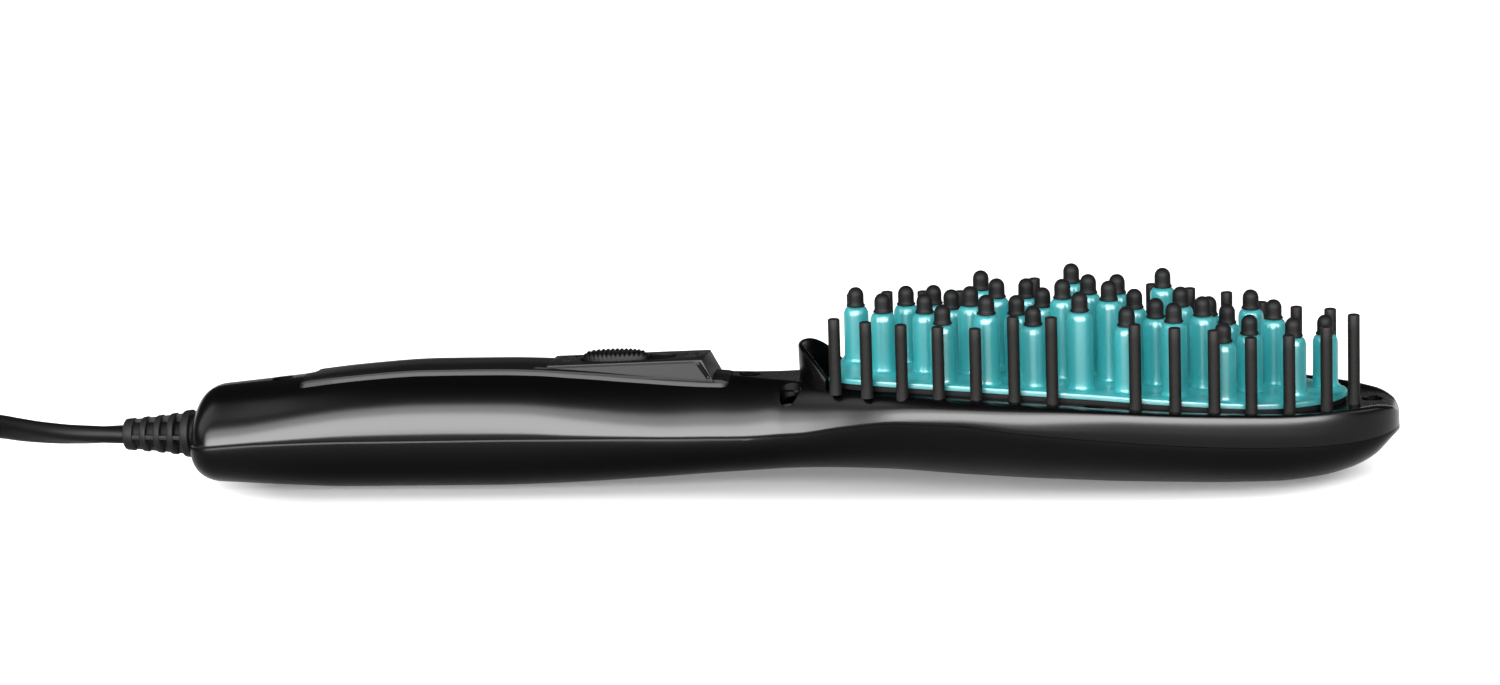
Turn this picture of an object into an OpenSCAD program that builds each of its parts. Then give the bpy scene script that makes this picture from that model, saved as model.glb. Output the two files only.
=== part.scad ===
// Heated hair straightening brush: two moulded shells, a slide switch, a heated
// plate with 36 rigid bristles, 27 guard pins and a 1.8 m mains lead.
// Frame: +X to the brush tip, +Z out of the bristles, origin on the table
// under the middle of the housing. Millimetres.

/* [Housing] */
// Length of the housing, without the cord
body_l = 278.8; // [278:0.4:280]
// Widest half-width of the handle
handle_w = 17.2; // [16.5:0.1:18]
// Widest half-width of the head
head_w = 29; // [28:0.1:30]
// Wall of both shells
wall = 2.2; // [2:0.1:2.4]
// Radius of the rounded rear end
rear_r = 7; // [6:0.5:8]

/* [Bristles] */
// Distance between bristles along a row
bristle_pitch = 10.4; // [10.2:0.1:10.6]
// Half the distance between the inner two rows
inner_row_y = 4.9; // [4.9:0.05:5]
// Half the distance between the outer two rows
outer_row_y = 14.7; // [14.7:0.05:14.8]
// Radius of a bristle
bristle_r = 2.85; // [2.6:0.05:2.85]
// Radius of the soft tip on a bristle
tip_r = 1.85; // [1.7:0.05:1.9]
// Height of the soft tip
tip_h = 4.4; // [4:0.1:5]
// Forward lean of bristles and pins, square to the plate's mean slope
lean = 1.1; // [0:0.1:1.5]

/* [Guard pins] */
// Radius of a guard pin
pin_r = 1.35; // [1.2:0.05:1.4]
// Distance from the plate's edge to the pin's axis
pin_gap = 1.9; // [1.8:0.05:2]
// How deep a pin is pressed into the deck
pin_seat = 1.2; // [1:0.1:1.4]

/* [Heated plate] */
// Gap between deck and plate that the insulating frame fills
frame_h = 1.2; // [1:0.1:1.4]
// Thickness of the plate
plate_t = 1.3; // [1.2:0.1:1.5]

/* [Switch] */
// Travel of the slide switch from off to on
switch_travel = 6; // [5:0.5:6]
// Length of the oval knob
knob_l = 15.6; // [15:0.2:16]
// Width of the oval knob
knob_w = 6.4; // [6:0.2:6.6]

/* [Cord] */
// Width of the flat cord
cord_w = 5.8; // [5.6:0.1:5.8]
// Thickness of the flat cord
cord_t = 4.2; // [4:0.1:4.2]
// Radius of the coil's outer turn
coil_r = 43; // [43:0.1:43.2]
// Turns in the coil, half of them in each layer
coil_turns = 8; // [6:2:8]
// Step from one turn of the coil to the next
coil_step = 4.8; // [4.8:0.05:4.85]

/* [Hidden] */

half_l = body_l / 2;
rear_x = -half_l + rear_r;
widest_x = 75;
tip_run = half_l - widest_x;
blunt = 1.2;

// Outlines of the housing, each a list of [x, value]
width_pts = [[-133, 0.89], [-110, 0.965], [-82, 1], [-55, 0.985], [-30, 0.885],
    [-12, 0.785], [0, 0.81]];
neck_w_pts = [[0, 13.9], [14, 17.4], [30, 22.3], [45, 25.7], [60, 28.1], [75, 29]];
crest_pts = [[-133, 23.4], [-118, 24.8], [-100, 26.4], [-82, 27.3], [-65, 27.3],
    [-48, 26.7], [-30, 25.6], [-14, 24.5], [0, 23.7], [14, 23.4], [30, 22.9],
    [45, 22.25], [60, 21.3], [75, 20.4], [90, 19.3], [105, 18.25], [117, 17.5],
    [134, 16.8], [138, 15.6], [140, 12.8]];
dish_pts = [[60, 0], [80, 0.3], [95, 0.6], [105, 0.85], [116, 1.2], [125, 1.2],
    [131, 0.7], [136, 0.1], [140, 0]];
seam_pts = [[-140, 11.1], [-120, 12.5], [-98, 13.1], [-65, 13.2], [-35, 12.8],
    [-9, 12.1], [5, 13], [16, 15.1], [30, 17], [42, 17], [57, 15.6], [75, 14.1],
    [90, 12.7], [109, 11.1], [125, 10], [131, 9.9], [136, 10.1], [140, 10.7]];
belly_pts = [[-133, 1.2], [-118, 0.4], [-102, -0.2], [-68, -0.2], [-50, 0.2],
    [-34, 0.9], [-11, 2.1], [8, 2.9], [22, 2.6], [45, 1.2], [64, 0.4], [84, -0.2],
    [112, -0.2], [122, 0.6], [129, 2.2], [134, 4.6], [138, 8.4], [140, 10]];
corner_pts = [[-60, 0.93], [-14, 0.85], [2, 0.6], [15, 0.34], [30, 0.26], [50, 0.21],
    [75, 0.19], [120, 0.22], [140, 0.5]];
belly_corner_pts = [[-60, 0.85], [0, 0.9], [30, 0.97], [78, 0.97], [103, 0.84], [120, 0.8],
    [140, 0.8]];
belly_round_pts = [[-40, 2.2], [30, 2.04]];
round_pts = [[-60, 2.3], [10, 2.2], [40, 2]];

// Value at x of a smooth line through the points p, which never overshoots
function segment(x, p, i = 0) =
    i >= len(p) - 2 || x < p[i + 1][0] ? i : segment(x, p, i + 1);
function chord(p, i) = (p[i + 1][1] - p[i][1]) / (p[i + 1][0] - p[i][0]);
function slope_at(p, i) =
    i == 0 ? chord(p, 0) :
    i == len(p) - 1 ? chord(p, i - 1) :
    chord(p, i - 1) * chord(p, i) <= 0 ? 0 :
    2 * chord(p, i - 1) * chord(p, i) / (chord(p, i - 1) + chord(p, i));
function line_at(x, p) =
    x <= p[0][0] ? p[0][1] :
    x >= p[len(p) - 1][0] ? p[len(p) - 1][1] :
    let(i = segment(x, p), h = p[i + 1][0] - p[i][0], t = (x - p[i][0]) / h)
    p[i][1] * (1 + 2 * t) * pow(1 - t, 2) + slope_at(p, i) * h * t * pow(1 - t, 2)
    + p[i + 1][1] * t * t * (3 - 2 * t) + slope_at(p, i + 1) * h * t * t * (t - 1);

// How far the rear end's rounding takes off every side
function rear_cut(x) =
    x >= rear_x ? 0 :
    rear_r * (1 - sqrt(max(0, 1 - pow((rear_x - x) / rear_r, 2))));
function half_width(x) =
    x < 0 ? handle_w * line_at(x, width_pts) - rear_cut(x) :
    x < widest_x ? line_at(x, neck_w_pts) * head_w / 29 :
    max(blunt, head_w * sqrt(max(0, 1 - pow((x - widest_x) / tip_run, 2))));
function crest_z(x) = line_at(x, crest_pts) - rear_cut(x);
function belly_z(x) = line_at(x, belly_pts) + rear_cut(x) * 0.7;
function dish_d(x) = line_at(x, dish_pts);
function floor_z(x) = crest_z(x) - dish_d(x);

// Half of a rounded corner, from the side (t = 0) up to the top (t = 90)
function corner(w, rx, h, n, t) =
    [w - rx + rx * pow(cos(t), 2 / n), h * pow(sin(t), 2 / n)];
deck_k = [0.92, 0.46, 0, -0.46, -0.92];
corner_t = [0, 16, 34, 52, 71, 90];

// The housing's cross-section above and below the seam, as a list of [y, z]
function upper_arc(x, inset) =
    let(w = half_width(x) - inset, rx = (half_width(x) * line_at(x, corner_pts)) - inset * 0.6,
        h = crest_z(x) - inset - seam_z(x), n = line_at(x, round_pts), yf = w - rx)
    concat(
        [for (t = corner_t) let(c = corner(w, rx, h, n, t)) [c[0], seam_z(x) + c[1]]],
        [for (k = deck_k) [k * yf, floor_z(x) - inset]],
        [for (i = [5 : -1 : 0]) let(c = corner(w, rx, h, n, corner_t[i]))
            [-c[0], seam_z(x) + c[1]]]);
function lower_arc(x, inset) =
    let(w = half_width(x) - inset, rx = w * line_at(x, belly_corner_pts),
        h = seam_z(x) - belly_z(x) - inset, n = line_at(x, belly_round_pts))
    concat(
        [for (t = corner_t) let(c = corner(w, rx, h, n, t)) [-c[0], seam_z(x) - c[1]]],
        [for (i = [5 : -1 : 0]) let(c = corner(w, rx, h, n, corner_t[i]))
            [c[0], seam_z(x) - c[1]]]);

// Solid through closed rings, each a list of points, all of one length
module loft(rings) {
    n = len(rings[0]);
    last = len(rings) - 1;
    polyhedron(
        points = [for (ring = rings) each ring],
        faces = concat(
            [[for (j = [0 : n - 1]) j]],
            [for (i = [0 : last - 1], j = [0 : n - 1], half = [0, 1])
                let(a = i * n + j, b = i * n + (j + 1) % n, c = a + n, d = b + n)
                half == 0 ? [a, c, b] : [b, c, d]],
            [[for (j = [n - 1 : -1 : 0]) last * n + j]]));
}

// Stations along the housing, closer where an end is round
rear_stations = [for (a = [0 : 18 : 72]) -half_l + rear_r * (1 - cos(a)) + rear_r * 0.02];
mid_stations = [for (i = [0 : 26]) rear_x + i * (widest_x - rear_x) / 26];
tip_stations = concat([for (a = [7 : 7 : 35]) widest_x + tip_run * sin(a)],
    [for (a = [40 : 4.5 : 76]) widest_x + tip_run * sin(a)]);
end_stations = [half_l - 0.9, half_l];
stations = concat(rear_stations, mid_stations, tip_stations, end_stations);
// The parting line runs straight between the stations
seam_line = [for (x = stations) [x, line_at(x, seam_pts)]];
function seam_z(x) = lookup(x, seam_line);
// Height of the deck's floor along the straight facets between the stations
deck_line = [for (x = stations) if (x > -9 && x < half_l - 1) [x, floor_z(x)]];
function deck_z(x) = lookup(x, deck_line);
cavity_stations = concat([-half_l + wall + 0.4, -half_l + wall + 2.1],
    [for (x = stations) if (x > rear_x + 0.5 && x < 128) x], [128.8]);

module housing(arc_up, arc_down, inset, along) {
    loft([for (x = along) concat(
        arc_up ? [for (p = upper_arc(x, inset)) [x, p[0], p[1]]] : [],
        arc_down ? [for (p = lower_arc(x, inset)) [x, p[0], p[1]]] : [])]);
}
module cavity() {
    // The rim is cut level with the dish at the last ring, so that the end face is convex
    loft([for (x = cavity_stations) concat(
        [for (p = upper_arc(x, wall)) [x, p[0], x < 128 ? p[1] : min(p[1], floor_z(x) - wall)]],
        [for (p = lower_arc(x, wall)) if (abs(p[1] - seam_z(x)) > 0.01) [x, p[0], p[1]]])]);
}

// Heated plate: outline, and layers that follow the deck
plate_pts = [[12.5, 11], [17, 13.6], [25, 15.9], [40, 18.2], [60, 20], [80, 20.6],
    [92, 20.1], [101, 19], [107, 17.8], [113, 15.2], [119, 11.7], [124, 7.7],
    [127, 3.8], [128, 1]];
plate_start = 12.5;
plate_end = 128;
plate_x = concat([plate_start], [for (x = stations) if (x > plate_start + 1 && x < 125) x],
    [125.6, 126.6], [for (x = stations) if (x > 127 && x < plate_end) x], [127.7, plate_end]);
function plate_half(x) = line_at(x, plate_pts);
module plate_outline(inset) {
    polygon(concat(
        [for (x = plate_x) [min(max(x, plate_start + inset), plate_end - inset),
            max(0.4, plate_half(x) - inset)]],
        [for (i = [len(plate_x) - 1 : -1 : 0]) let(x = plate_x[i])
            [min(max(x, plate_start + inset), plate_end - inset),
            -max(0.4, plate_half(x) - inset)]]));
}
// Everything between two heights over the deck's floor
module deck_layer(z0, z1) {
    rotate([90, 0, 0])
        linear_extrude(height = 70, center = true)
            polygon(concat(
                [for (p = deck_line) [p[0], p[1] + z0]],
                [for (i = [len(deck_line) - 1 : -1 : 0])
                    [deck_line[i][0], deck_line[i][1] + z1]]));
}
module plate_slab(z0, z1, inset) {
    intersection() {
        linear_extrude(height = 60) plate_outline(inset);
        deck_layer(z0, z1);
    }
}
function floor_tilt(x) = atan((floor_z(x - 6) - floor_z(x + 6)) / 12);
// Puts a piece on the sloping floor, dz over it
module on_floor(x, y, dz) {
    translate([x, y, floor_z(x) + dz]) rotate([0, floor_tilt(x), 0]) children();
}

// Bristles in staggered rows: place across, place of the first along X, how far the
// end ones are moved off the grid, and each one's height with its tip over the floor
plate_top = frame_h + plate_t;
rows = [
    [-outer_row_y, 38.6, [0.5, 0.4], [20, 22.6, 20.6, 24.3, 21.7, 23.4, 19.7]],
    [-inner_row_y, 23.4, [0.8, -0.7], [20.3, 20.4, 22.4, 20.8, 25, 25.2, 22, 23.2, 19.8, 20]],
    [inner_row_y, 17.8, [-1.2, 1.1], [19.6, 20.1, 19.5, 22.4, 20.8, 24.4, 21.7, 23, 19.8,
        21.7, 18.6]],
    [outer_row_y, 33.8, [-0.6, -0.9], [18.4, 22.1, 20.7, 24.7, 22.8, 25, 19.2, 21.5]]];
function bristle_x(row, i) = row[1] + i * bristle_pitch
    + (i == 0 ? row[2][0] : i == len(row[3]) - 1 ? row[2][1] : 0);
peg_r = 1.1;
peg_h = 2.6;
shoulder = 1.3;
module bristle(h) {
    top = h - tip_h;
    rotate_extrude($fn = 28)
        polygon(concat(
            [[0, 0], [bristle_r, 0], [bristle_r, top - shoulder]],
            [for (a = [22.5 : 22.5 : 67.5]) [bristle_r - shoulder * (1 - cos(a)),
                top - shoulder + shoulder * sin(a)]],
            [[bristle_r - shoulder, top], [peg_r, top], [peg_r, top + peg_h],
            [0, top + peg_h]]));
}
module soft_tip() {
    lip = 0.25;
    difference() {
        rotate_extrude($fn = 28)
            polygon(concat(
                [[0, 0], [tip_r + lip, 0], [tip_r + lip, 0.45], [tip_r, 1.1],
                [tip_r, tip_h - tip_r]],
                [for (a = [15 : 15 : 75]) [tip_r * cos(a), tip_h - tip_r + tip_r * sin(a)]],
                [[0, tip_h]]));
        translate([0, 0, -1]) cylinder(r = peg_r, h = 1 + peg_h, $fn = 28);
    }
}
// Puts a piece where bristle i of row k stands on the floor
module at_bristle(k, i) {
    x = bristle_x(rows[k], i);
    translate([x, rows[k][0], deck_z(x)]) rotate([0, lean, 0]) children();
}
module bristle_row(k) {
    h = rows[k][3];
    color([0.31, 0.78, 0.76])
        difference() {
            for (i = [0 : len(h) - 1]) at_bristle(k, i) bristle(h[i]);
            deck_layer(-6, plate_top);
        }
}
module tip_row(k) {
    h = rows[k][3];
    color([0.08, 0.08, 0.085])
        for (i = [0 : len(h) - 1])
            at_bristle(k, i) translate([0, 0, h[i] - tip_h]) soft_tip();
}

// Guard pins round the plate: place along X and length over the floor
side_pins = [[14.4, 16.2], [22, 16.2], [30.2, 16.1], [38.6, 16.1], [47.1, 16.2],
    [55.7, 19.4], [64.2, 19.8], [82.6, 19.5], [91.3, 19.3], [99.8, 19.2],
    [107.8, 17.9], [115.9, 18.2], [123.8, 19]];
tip_pin = [129.6, 20.3];
tip_pin_y = -4.5;
function pin_y(x) = plate_half(x) + pin_gap;
function pin_foot(x) = floor_z(x) - pin_seat;
module guard_pin(x, y, h, grow = 0) {
    translate([x, y, pin_foot(x)]) rotate([0, lean, 0]) {
        cylinder(r = pin_r, h = h + pin_seat - 0.4, $fn = 24);
        translate([0, 0, h + pin_seat - 0.4])
            cylinder(r1 = pin_r, r2 = pin_r - 0.35, h = 0.4, $fn = 24);
    }
}
module pin_seats() {
    for (p = side_pins, side = [-1, 1])
        translate([p[0], side * pin_y(p[0]), pin_foot(p[0])]) rotate([0, lean, 0])
            cylinder(r = pin_r, h = 6, $fn = 24);
    translate([tip_pin[0], tip_pin_y, pin_foot(tip_pin[0])]) rotate([0, lean, 0])
        cylinder(r = pin_r, h = 6, $fn = 24);
}

module guard_pins_front() {
    color([0.1, 0.1, 0.105])
        for (p = side_pins) guard_pin(p[0], -pin_y(p[0]), p[1]);
}
module guard_pins_rear() {
    color([0.1, 0.1, 0.105])
        for (p = side_pins) guard_pin(p[0], pin_y(p[0]), p[1]);
}
module guard_pin_tip() {
    color([0.1, 0.1, 0.105]) guard_pin(tip_pin[0], tip_pin_y, tip_pin[1]);
}

// Screws that join the shells: [x, y], all driven from the deck side
housing_screw_xy = [[-118.8, 0], [-7.6, 0], [3, -10.8], [3, 10.8],
    [73.4, -22.9], [73.4, 22.9], [133.5, 0]];
screw_head_r = 2.1;
screw_r = 1.2;
screw_hole_r = 2.3;
post_r = 3.2;
boss_r = 3.5;
// End of a screw in its post, and seat of its head, over the parting line
function screw_end_z(p) = seam_z(p[0]) - (p[0] < 100 ? 7 : 2.8);
function head_z(p) = seam_z(p[0]) + (p[0] < 20 ? 4.4 : p[0] < 100 ? 2.2 : 3.4);
module screw_tubes(r) {
    for (p = housing_screw_xy)
        translate([p[0], p[1], 0]) cylinder(r = r, h = 40, $fn = 28);
}
module screw_holes() {
    for (p = housing_screw_xy) {
        translate([p[0], p[1], head_z(p)]) cylinder(r = screw_hole_r, h = 30, $fn = 28);
        translate([p[0], p[1], seam_z(p[0]) - 1]) cylinder(r = 1.5, h = 30, $fn = 24);
    }
}

// Board, switch and what hangs on them
board_x0 = -72;
board_x1 = -18;
board_z = 16.6;
board_t = 1.6;
board_hole_x = [-66, -21.5];
knob_x = -38.8;
slot_x = knob_x + switch_travel / 2;
lever_l = 3.2;
lever_w = 2.4;
knob_base = 26.9;
board_top = board_z + board_t;
switch_top = board_top + 4.4;

// Control panel: a long inlay whose front end rises as a platform for the switch
panel_x0 = -113;
panel_x1 = -11.5;
panel_w = 8.2;
panel_seat = 1.2;
platform_top = 28.35;
module panel_outline(grow) {
    mid = (panel_x0 + panel_x1) / 2;
    half = (panel_x1 - panel_x0) / 2 + grow;
    polygon([for (a = [0 : 8 : 352])
        let(c = cos(a), s = sin(a))
        [mid + half * sign(c) * pow(abs(c), 0.42), (panel_w + grow) * sign(s) * pow(abs(s), 0.9)]]);
}
// How proud the inlay stands of the shell: nothing at its ends, most in the middle
function proud(x) = 0.85 * max(0, 1 - pow(abs(2 * x - panel_x0 - panel_x1)
    / (panel_x1 - panel_x0), 4));
panel_stations = [for (x = stations) if (x > -122 && x < -3) x];
module panel_skin(out) {
    loft([for (x = panel_stations) concat(
        [for (p = upper_arc(x, 0)) [x, p[0], p[1] + out * proud(x)]],
        [[x, -half_width(x), seam_z(x) - 4], [x, half_width(x), seam_z(x) - 4]])]);
}
module below_inlay() {
    translate([0, 0, -panel_seat]) panel_skin(0);
}
// Platform with sloping sides and a steep front end
module platform() {
    polyhedron(
        points = [
            [-54, -7.6, 25.6], [-16.4, -9.2, 23.2], [-16.4, 9.2, 23.2], [-54, 7.6, 25.6],
            [-54, -7.2, 27.6], [-17.9, -6.2, 28.4], [-17.9, 6.2, 28.4], [-54, 7.2, 27.6],
            [-15, -6.8, 24.4], [-15, 6.8, 24.4], [-15.6, -8.6, 23], [-15.6, 8.6, 23]],
        faces = [
            [4, 7, 6, 5], [0, 4, 5], [0, 5, 1], [3, 6, 7], [3, 2, 6], [0, 3, 7, 4],
            [5, 6, 9, 8], [1, 5, 8], [1, 8, 10], [2, 9, 6], [2, 11, 9], [8, 9, 11, 10],
            [0, 1, 10, 11, 2, 3]]);
}
// Oval block: n = 2 is an ellipse, and a higher n is squarer
module oval(l, w, h, n = 2) {
    linear_extrude(height = h)
        polygon([for (a = [0 : 10 : 350]) [l / 2 * sign(cos(a)) * pow(abs(cos(a)), 2 / n),
            w / 2 * sign(sin(a)) * pow(abs(sin(a)), 2 / n)]]);
}
stem_slot_l = lever_l + switch_travel + 1;

// Cord route: level out of the sleeve, then back and down to the table
lead_route = [[-157.8, 0, 11.65], [-163.6, 0, 11.65], [-168.6, 0.3, 11.65],
    [-173.4, 1.1, 11.65], [-178.2, 2.5, 11.65], [-183, 4.5, 11.65], [-187.6, 7, 11.6],
    [-192, 9.9, 11.5], [-196.2, 13, 11], [-200.2, 16, 9.9], [-204, 18.6, 8.3],
    [-207.8, 20.8, 6.3], [-211.6, 22.5, 4.4]];
// The lead leaves the sleeve lying flat and has turned on its edge before the coil
function lead_edge(x) = min(1, max(0, (-157.8 - x) / 38));
coil_mid = [-246, -8];
coil_start = 60;
bottom_z = 2.35;
layer_rise = 6.4;
// Route of the tail over the coil's middle, up across the turns to the plug
tail_route = [[7.4, 44.4, 9.6], [1.8, 45, 10.8], [-3.8, 44.6, 12.2],
    [-9.2, 43, 13.6], [-14.2, 40.2, 15], [-18.6, 36.4, 16.3], [-22.2, 31.8, 17.4],
    [-25, 26.6, 18.2], [-27, 21, 18.6], [-27.6, 17.2, 18.65], [-27.6, 13, 18.65]];
tie_angle = 330;
tie_w = 8;
tie_t = 0.6;
reverse_at = coil_turns / 2;
function turn_r(s) = coil_r - coil_step * reverse_at + coil_step * abs(s - reverse_at);
function climb(s) = let(t = min(1, max(0, (s - reverse_at) * 2 + 0.5))) t * t * (3 - 2 * t);
function coil_point(s) = let(a = coil_start + 360 * s)
    [coil_mid[0] + turn_r(s) * cos(a), coil_mid[1] + turn_r(s) * sin(a),
    bottom_z + layer_rise * climb(s)];
// Both ends of the coil run straight for a cord's width, along coil_dir
coil_dir = [-sin(coil_start), cos(coil_start), 0];
coil_in = coil_point(0) - cord_w * coil_dir;
coil_out = coil_point(coil_turns) + cord_w * coil_dir;
coil_route = concat([coil_in], [for (i = [0 : 24 * coil_turns]) coil_point(i / 24)], [coil_out]);

// A flat cord swept along a route; flat goes from 0, lying, to 1, on its edge
function unit(v) = v / norm(v);
function tangent(r, i) = unit(r[min(i + 1, len(r) - 1)] - r[max(i - 1, 0)]);
function cord_ring(r, i, edge, sides, low) =
    let(t = tangent(r, i), side = unit(cross([0, 0, 1], t)), up = cross(t, side),
        turn = 90 * edge)
    [for (k = [0 : sides - 1])
        let(a = 360 * k / sides,
            u = cord_w / 2 * cos(a), v = cord_t / 2 * sin(a),
            p = r[i] + side * (u * cos(turn) - v * sin(turn))
                + up * (u * sin(turn) + v * cos(turn)))
        [p[0], p[1], max(low, p[2])]];
function tied(p) = let(d = [p[0] - coil_mid[0], p[1] - coil_mid[1]])
    norm(d) > 10 && d[0] * cos(tie_angle) + d[1] * sin(tie_angle) > norm(d) * cos(20)
    ? tie_t + 0.15 : 0;
function round_ring(r, i, rad, sides) =
    let(t = tangent(r, i), side = unit(cross([0, 0, 1], t)), up = cross(t, side))
    [for (k = [0 : sides - 1]) let(a = 360 * k / sides)
        r[i] + side * rad * cos(a) + up * rad * sin(a)];
module wire(r, rad, sides = 8) {
    loft([for (i = [0 : len(r) - 1]) round_ring(r, i, rad, sides)]);
}
// Least gap between turns a whole turn or more apart, as the solids have it
function ellipse_gap(d, dz) = let(q = norm([d / cord_t, dz / cord_w])) norm([d, dz]) * (1 - 1 / q);
coil_gap = min([for (i = [1 : 3 : 24 * (coil_turns - 1)], j = [i + 18 : 24 * coil_turns])
    let(a = coil_route[i], b = coil_route[j], d = norm([a[0] - b[0], a[1] - b[1]]))
    if (d < 9 && abs(a[2] - b[2]) < 9) ellipse_gap(d, a[2] - b[2])]);
echo(coil_gap = coil_gap);

module upper_shell() {
    color([0.05, 0.05, 0.055])
        difference() {
            union() {
                difference() {
                    housing(true, false, 0, stations);
                    cavity();
                }
                intersection() {
                    housing(true, false, 0, stations);
                    union() {
                        screw_tubes(boss_r);
                        for (x = board_hole_x)
                            translate([x, 0, board_top]) cylinder(r = 2.6, h = 12, $fn = 28);
                    }
                }
            }
            linear_extrude(height = 60) plate_outline(1.2);
            difference() {
                translate([0, 0, 10]) linear_extrude(height = 30) panel_outline(0);
                below_inlay();
            }
            translate([slot_x - stem_slot_l / 2, -2.4, board_top]) cube([stem_slot_l, 4.8, 9]);
            for (x = board_hole_x)
                translate([x, 0, board_top - 1]) cylinder(r = 1.1, h = 5.6, $fn = 24);
            screw_holes();
            pin_seats();
            translate([-half_l - 1, 0, cord_z]) rotate([0, 90, 0])
                cylinder(r = sleeve_neck_r, h = 6, $fn = 32);
        }
}
module lower_shell() {
    color([0.07, 0.07, 0.075])
        difference() {
            union() {
                difference() {
                    housing(false, true, 0, stations);
                    cavity();
                }
                intersection() {
                    housing(false, true, 0, stations);
                    screw_tubes(post_r);
                }
                for (y = [-1, 1])
                    translate([clamp_x, y * clamp_y, 3.2])
                        cylinder(r = 2.4, h = cord_z + cord_t / 2 - 3.2, $fn = 28);
                translate([clamp_x - 2.5, -4, 1.6]) cube([5, 8, cord_z - cord_t / 2 - 1.6]);
            }
            translate([-half_l, -40, -5]) cube([body_l, 80, 5]);
            for (p = housing_screw_xy)
                translate([p[0], p[1], screw_end_z(p)]) cylinder(r = screw_r, h = 12, $fn = 24);
            for (y = [-1, 1])
                translate([clamp_x, y * clamp_y, cord_z - 6]) cylinder(r = 1, h = 12, $fn = 24);
            translate([-half_l - 1, 0, cord_z]) rotate([0, 90, 0])
                cylinder(r = sleeve_neck_r, h = 6, $fn = 32);
        }
}
module housing_screws() {
    color([0.6, 0.6, 0.62])
        for (p = housing_screw_xy)
            translate([p[0], p[1], head_z(p)]) {
                translate([0, 0, screw_end_z(p) - head_z(p)])
                    cylinder(r = screw_r, h = head_z(p) - screw_end_z(p) + 0.1, $fn = 24);
                difference() {
                    cylinder(r = screw_head_r, h = 1.6, $fn = 28);
                    for (a = [0, 90])
                        translate([0, 0, 1.3]) rotate([0, 0, a])
                            cube([2.4, 0.5, 1], center = true);
                }
            }
}

module control_panel() {
    color([0.06, 0.06, 0.065])
        difference() {
            union() {
                difference() {
                    intersection() {
                        translate([0, 0, 10]) linear_extrude(height = 30) panel_outline(-0.1);
                        panel_skin(1);
                    }
                    below_inlay();
                }
                difference() {
                    intersection() {
                        platform();
                        translate([0, 0, 10]) linear_extrude(height = 30) panel_outline(3);
                    }
                    below_inlay();
                    difference() {
                        housing(true, false, 0, panel_stations);
                        translate([0, 0, 10]) linear_extrude(height = 30) panel_outline(-0.1);
                    }
                }
            }
            translate([knob_x + switch_travel / 2, 0, knob_base - 0.3])
                oval(knob_l + switch_travel + 0.8, knob_w + 0.9, 6, 3);
            translate([slot_x - stem_slot_l / 2, -1.7, 20]) cube([stem_slot_l, 3.4, 10]);
        }
}
module switch_knob() {
    ribs = 11;
    color([0.09, 0.09, 0.095])
        translate([knob_x, 0, 0])
            difference() {
                union() {
                    translate([0, 0, knob_base]) oval(knob_l, knob_w, 1.9);
                    for (i = [0 : ribs - 1]) {
                        x = (i - (ribs - 1) / 2) * knob_l * 0.076;
                        reach = knob_w * 0.92 * pow(1 - pow(2 * x / knob_l, 2), 0.6);
                        translate([x, 0, knob_base + 1.9]) rotate([90, 0, 0])
                            cylinder(r = 0.5, h = reach, center = true, $fn = 16);
                    }
                }
                translate([-lever_l / 2, -lever_w / 2, knob_base - 1])
                    cube([lever_l, lever_w, 2]);
            }
}
module switch_lever() {
    color([0.8, 0.8, 0.78])
        translate([knob_x, 0, 0]) {
            translate([-lever_l / 2, -lever_w / 2, board_top + 2.6])
                cube([lever_l, lever_w, knob_base + 1 - board_top - 2.6]);
            translate([-lever_l / 2 - 0.8, -lever_w / 2 - 0.2, board_top + 1])
                cube([lever_l + 1.6, lever_w + 0.4, 1.6]);
        }
}
module switch_body() {
    pocket_l = lever_l + switch_travel + 2.4;
    color([0.15, 0.15, 0.16])
        difference() {
            translate([slot_x - 9, -3.6, board_top]) cube([18, 7.2, 4.4]);
            translate([slot_x - pocket_l / 2, -lever_w / 2 - 0.5, board_top + 0.7])
                cube([pocket_l, lever_w + 1, 2.2]);
            translate([slot_x - stem_slot_l / 2, -lever_w / 2 - 0.3, board_top + 2])
                cube([stem_slot_l, lever_w + 0.6, 4]);
        }
}

// Curved wall behind the bristles; its rim falls off towards both ends
guard_mid_x = 16.9;
guard_r = 12.8;
guard_t = 1.3;
guard_top = 31.6;
guard_low = 19;
guard_end = 66.4;
guard_fall = 6.3;
function guard_rim(a) = guard_top
    - guard_fall * pow((1 - cos(a)) / (1 - cos(guard_end)), 1.5);
module hair_guard() {
    color([0.06, 0.06, 0.065])
        difference() {
            loft([for (a = [-guard_end : 8.3 : guard_end + 1])
                [for (p = [[0, guard_low], [0, guard_rim(a) - 0.5], [0.25, guard_rim(a) - 0.1],
                        [guard_t / 2, guard_rim(a)], [guard_t - 0.25, guard_rim(a) - 0.1],
                        [guard_t, guard_rim(a) - 0.5], [guard_t, guard_low]])
                    [guard_mid_x - (guard_r - p[0]) * cos(a), (guard_r - p[0]) * sin(a), p[1]]]]);
            housing(true, false, 0, [for (x = stations) if (x > -8 && x < 26) x]);
        }
}

module plate_frame() {
    color([0.1, 0.1, 0.105])
        difference() {
            union() {
                plate_slab(0, frame_h, 0.4);
                plate_slab(-5, 0.1, 1.2);
            }
            plate_slab(-7, frame_h + 1, 2.8);
        }
}
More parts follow.
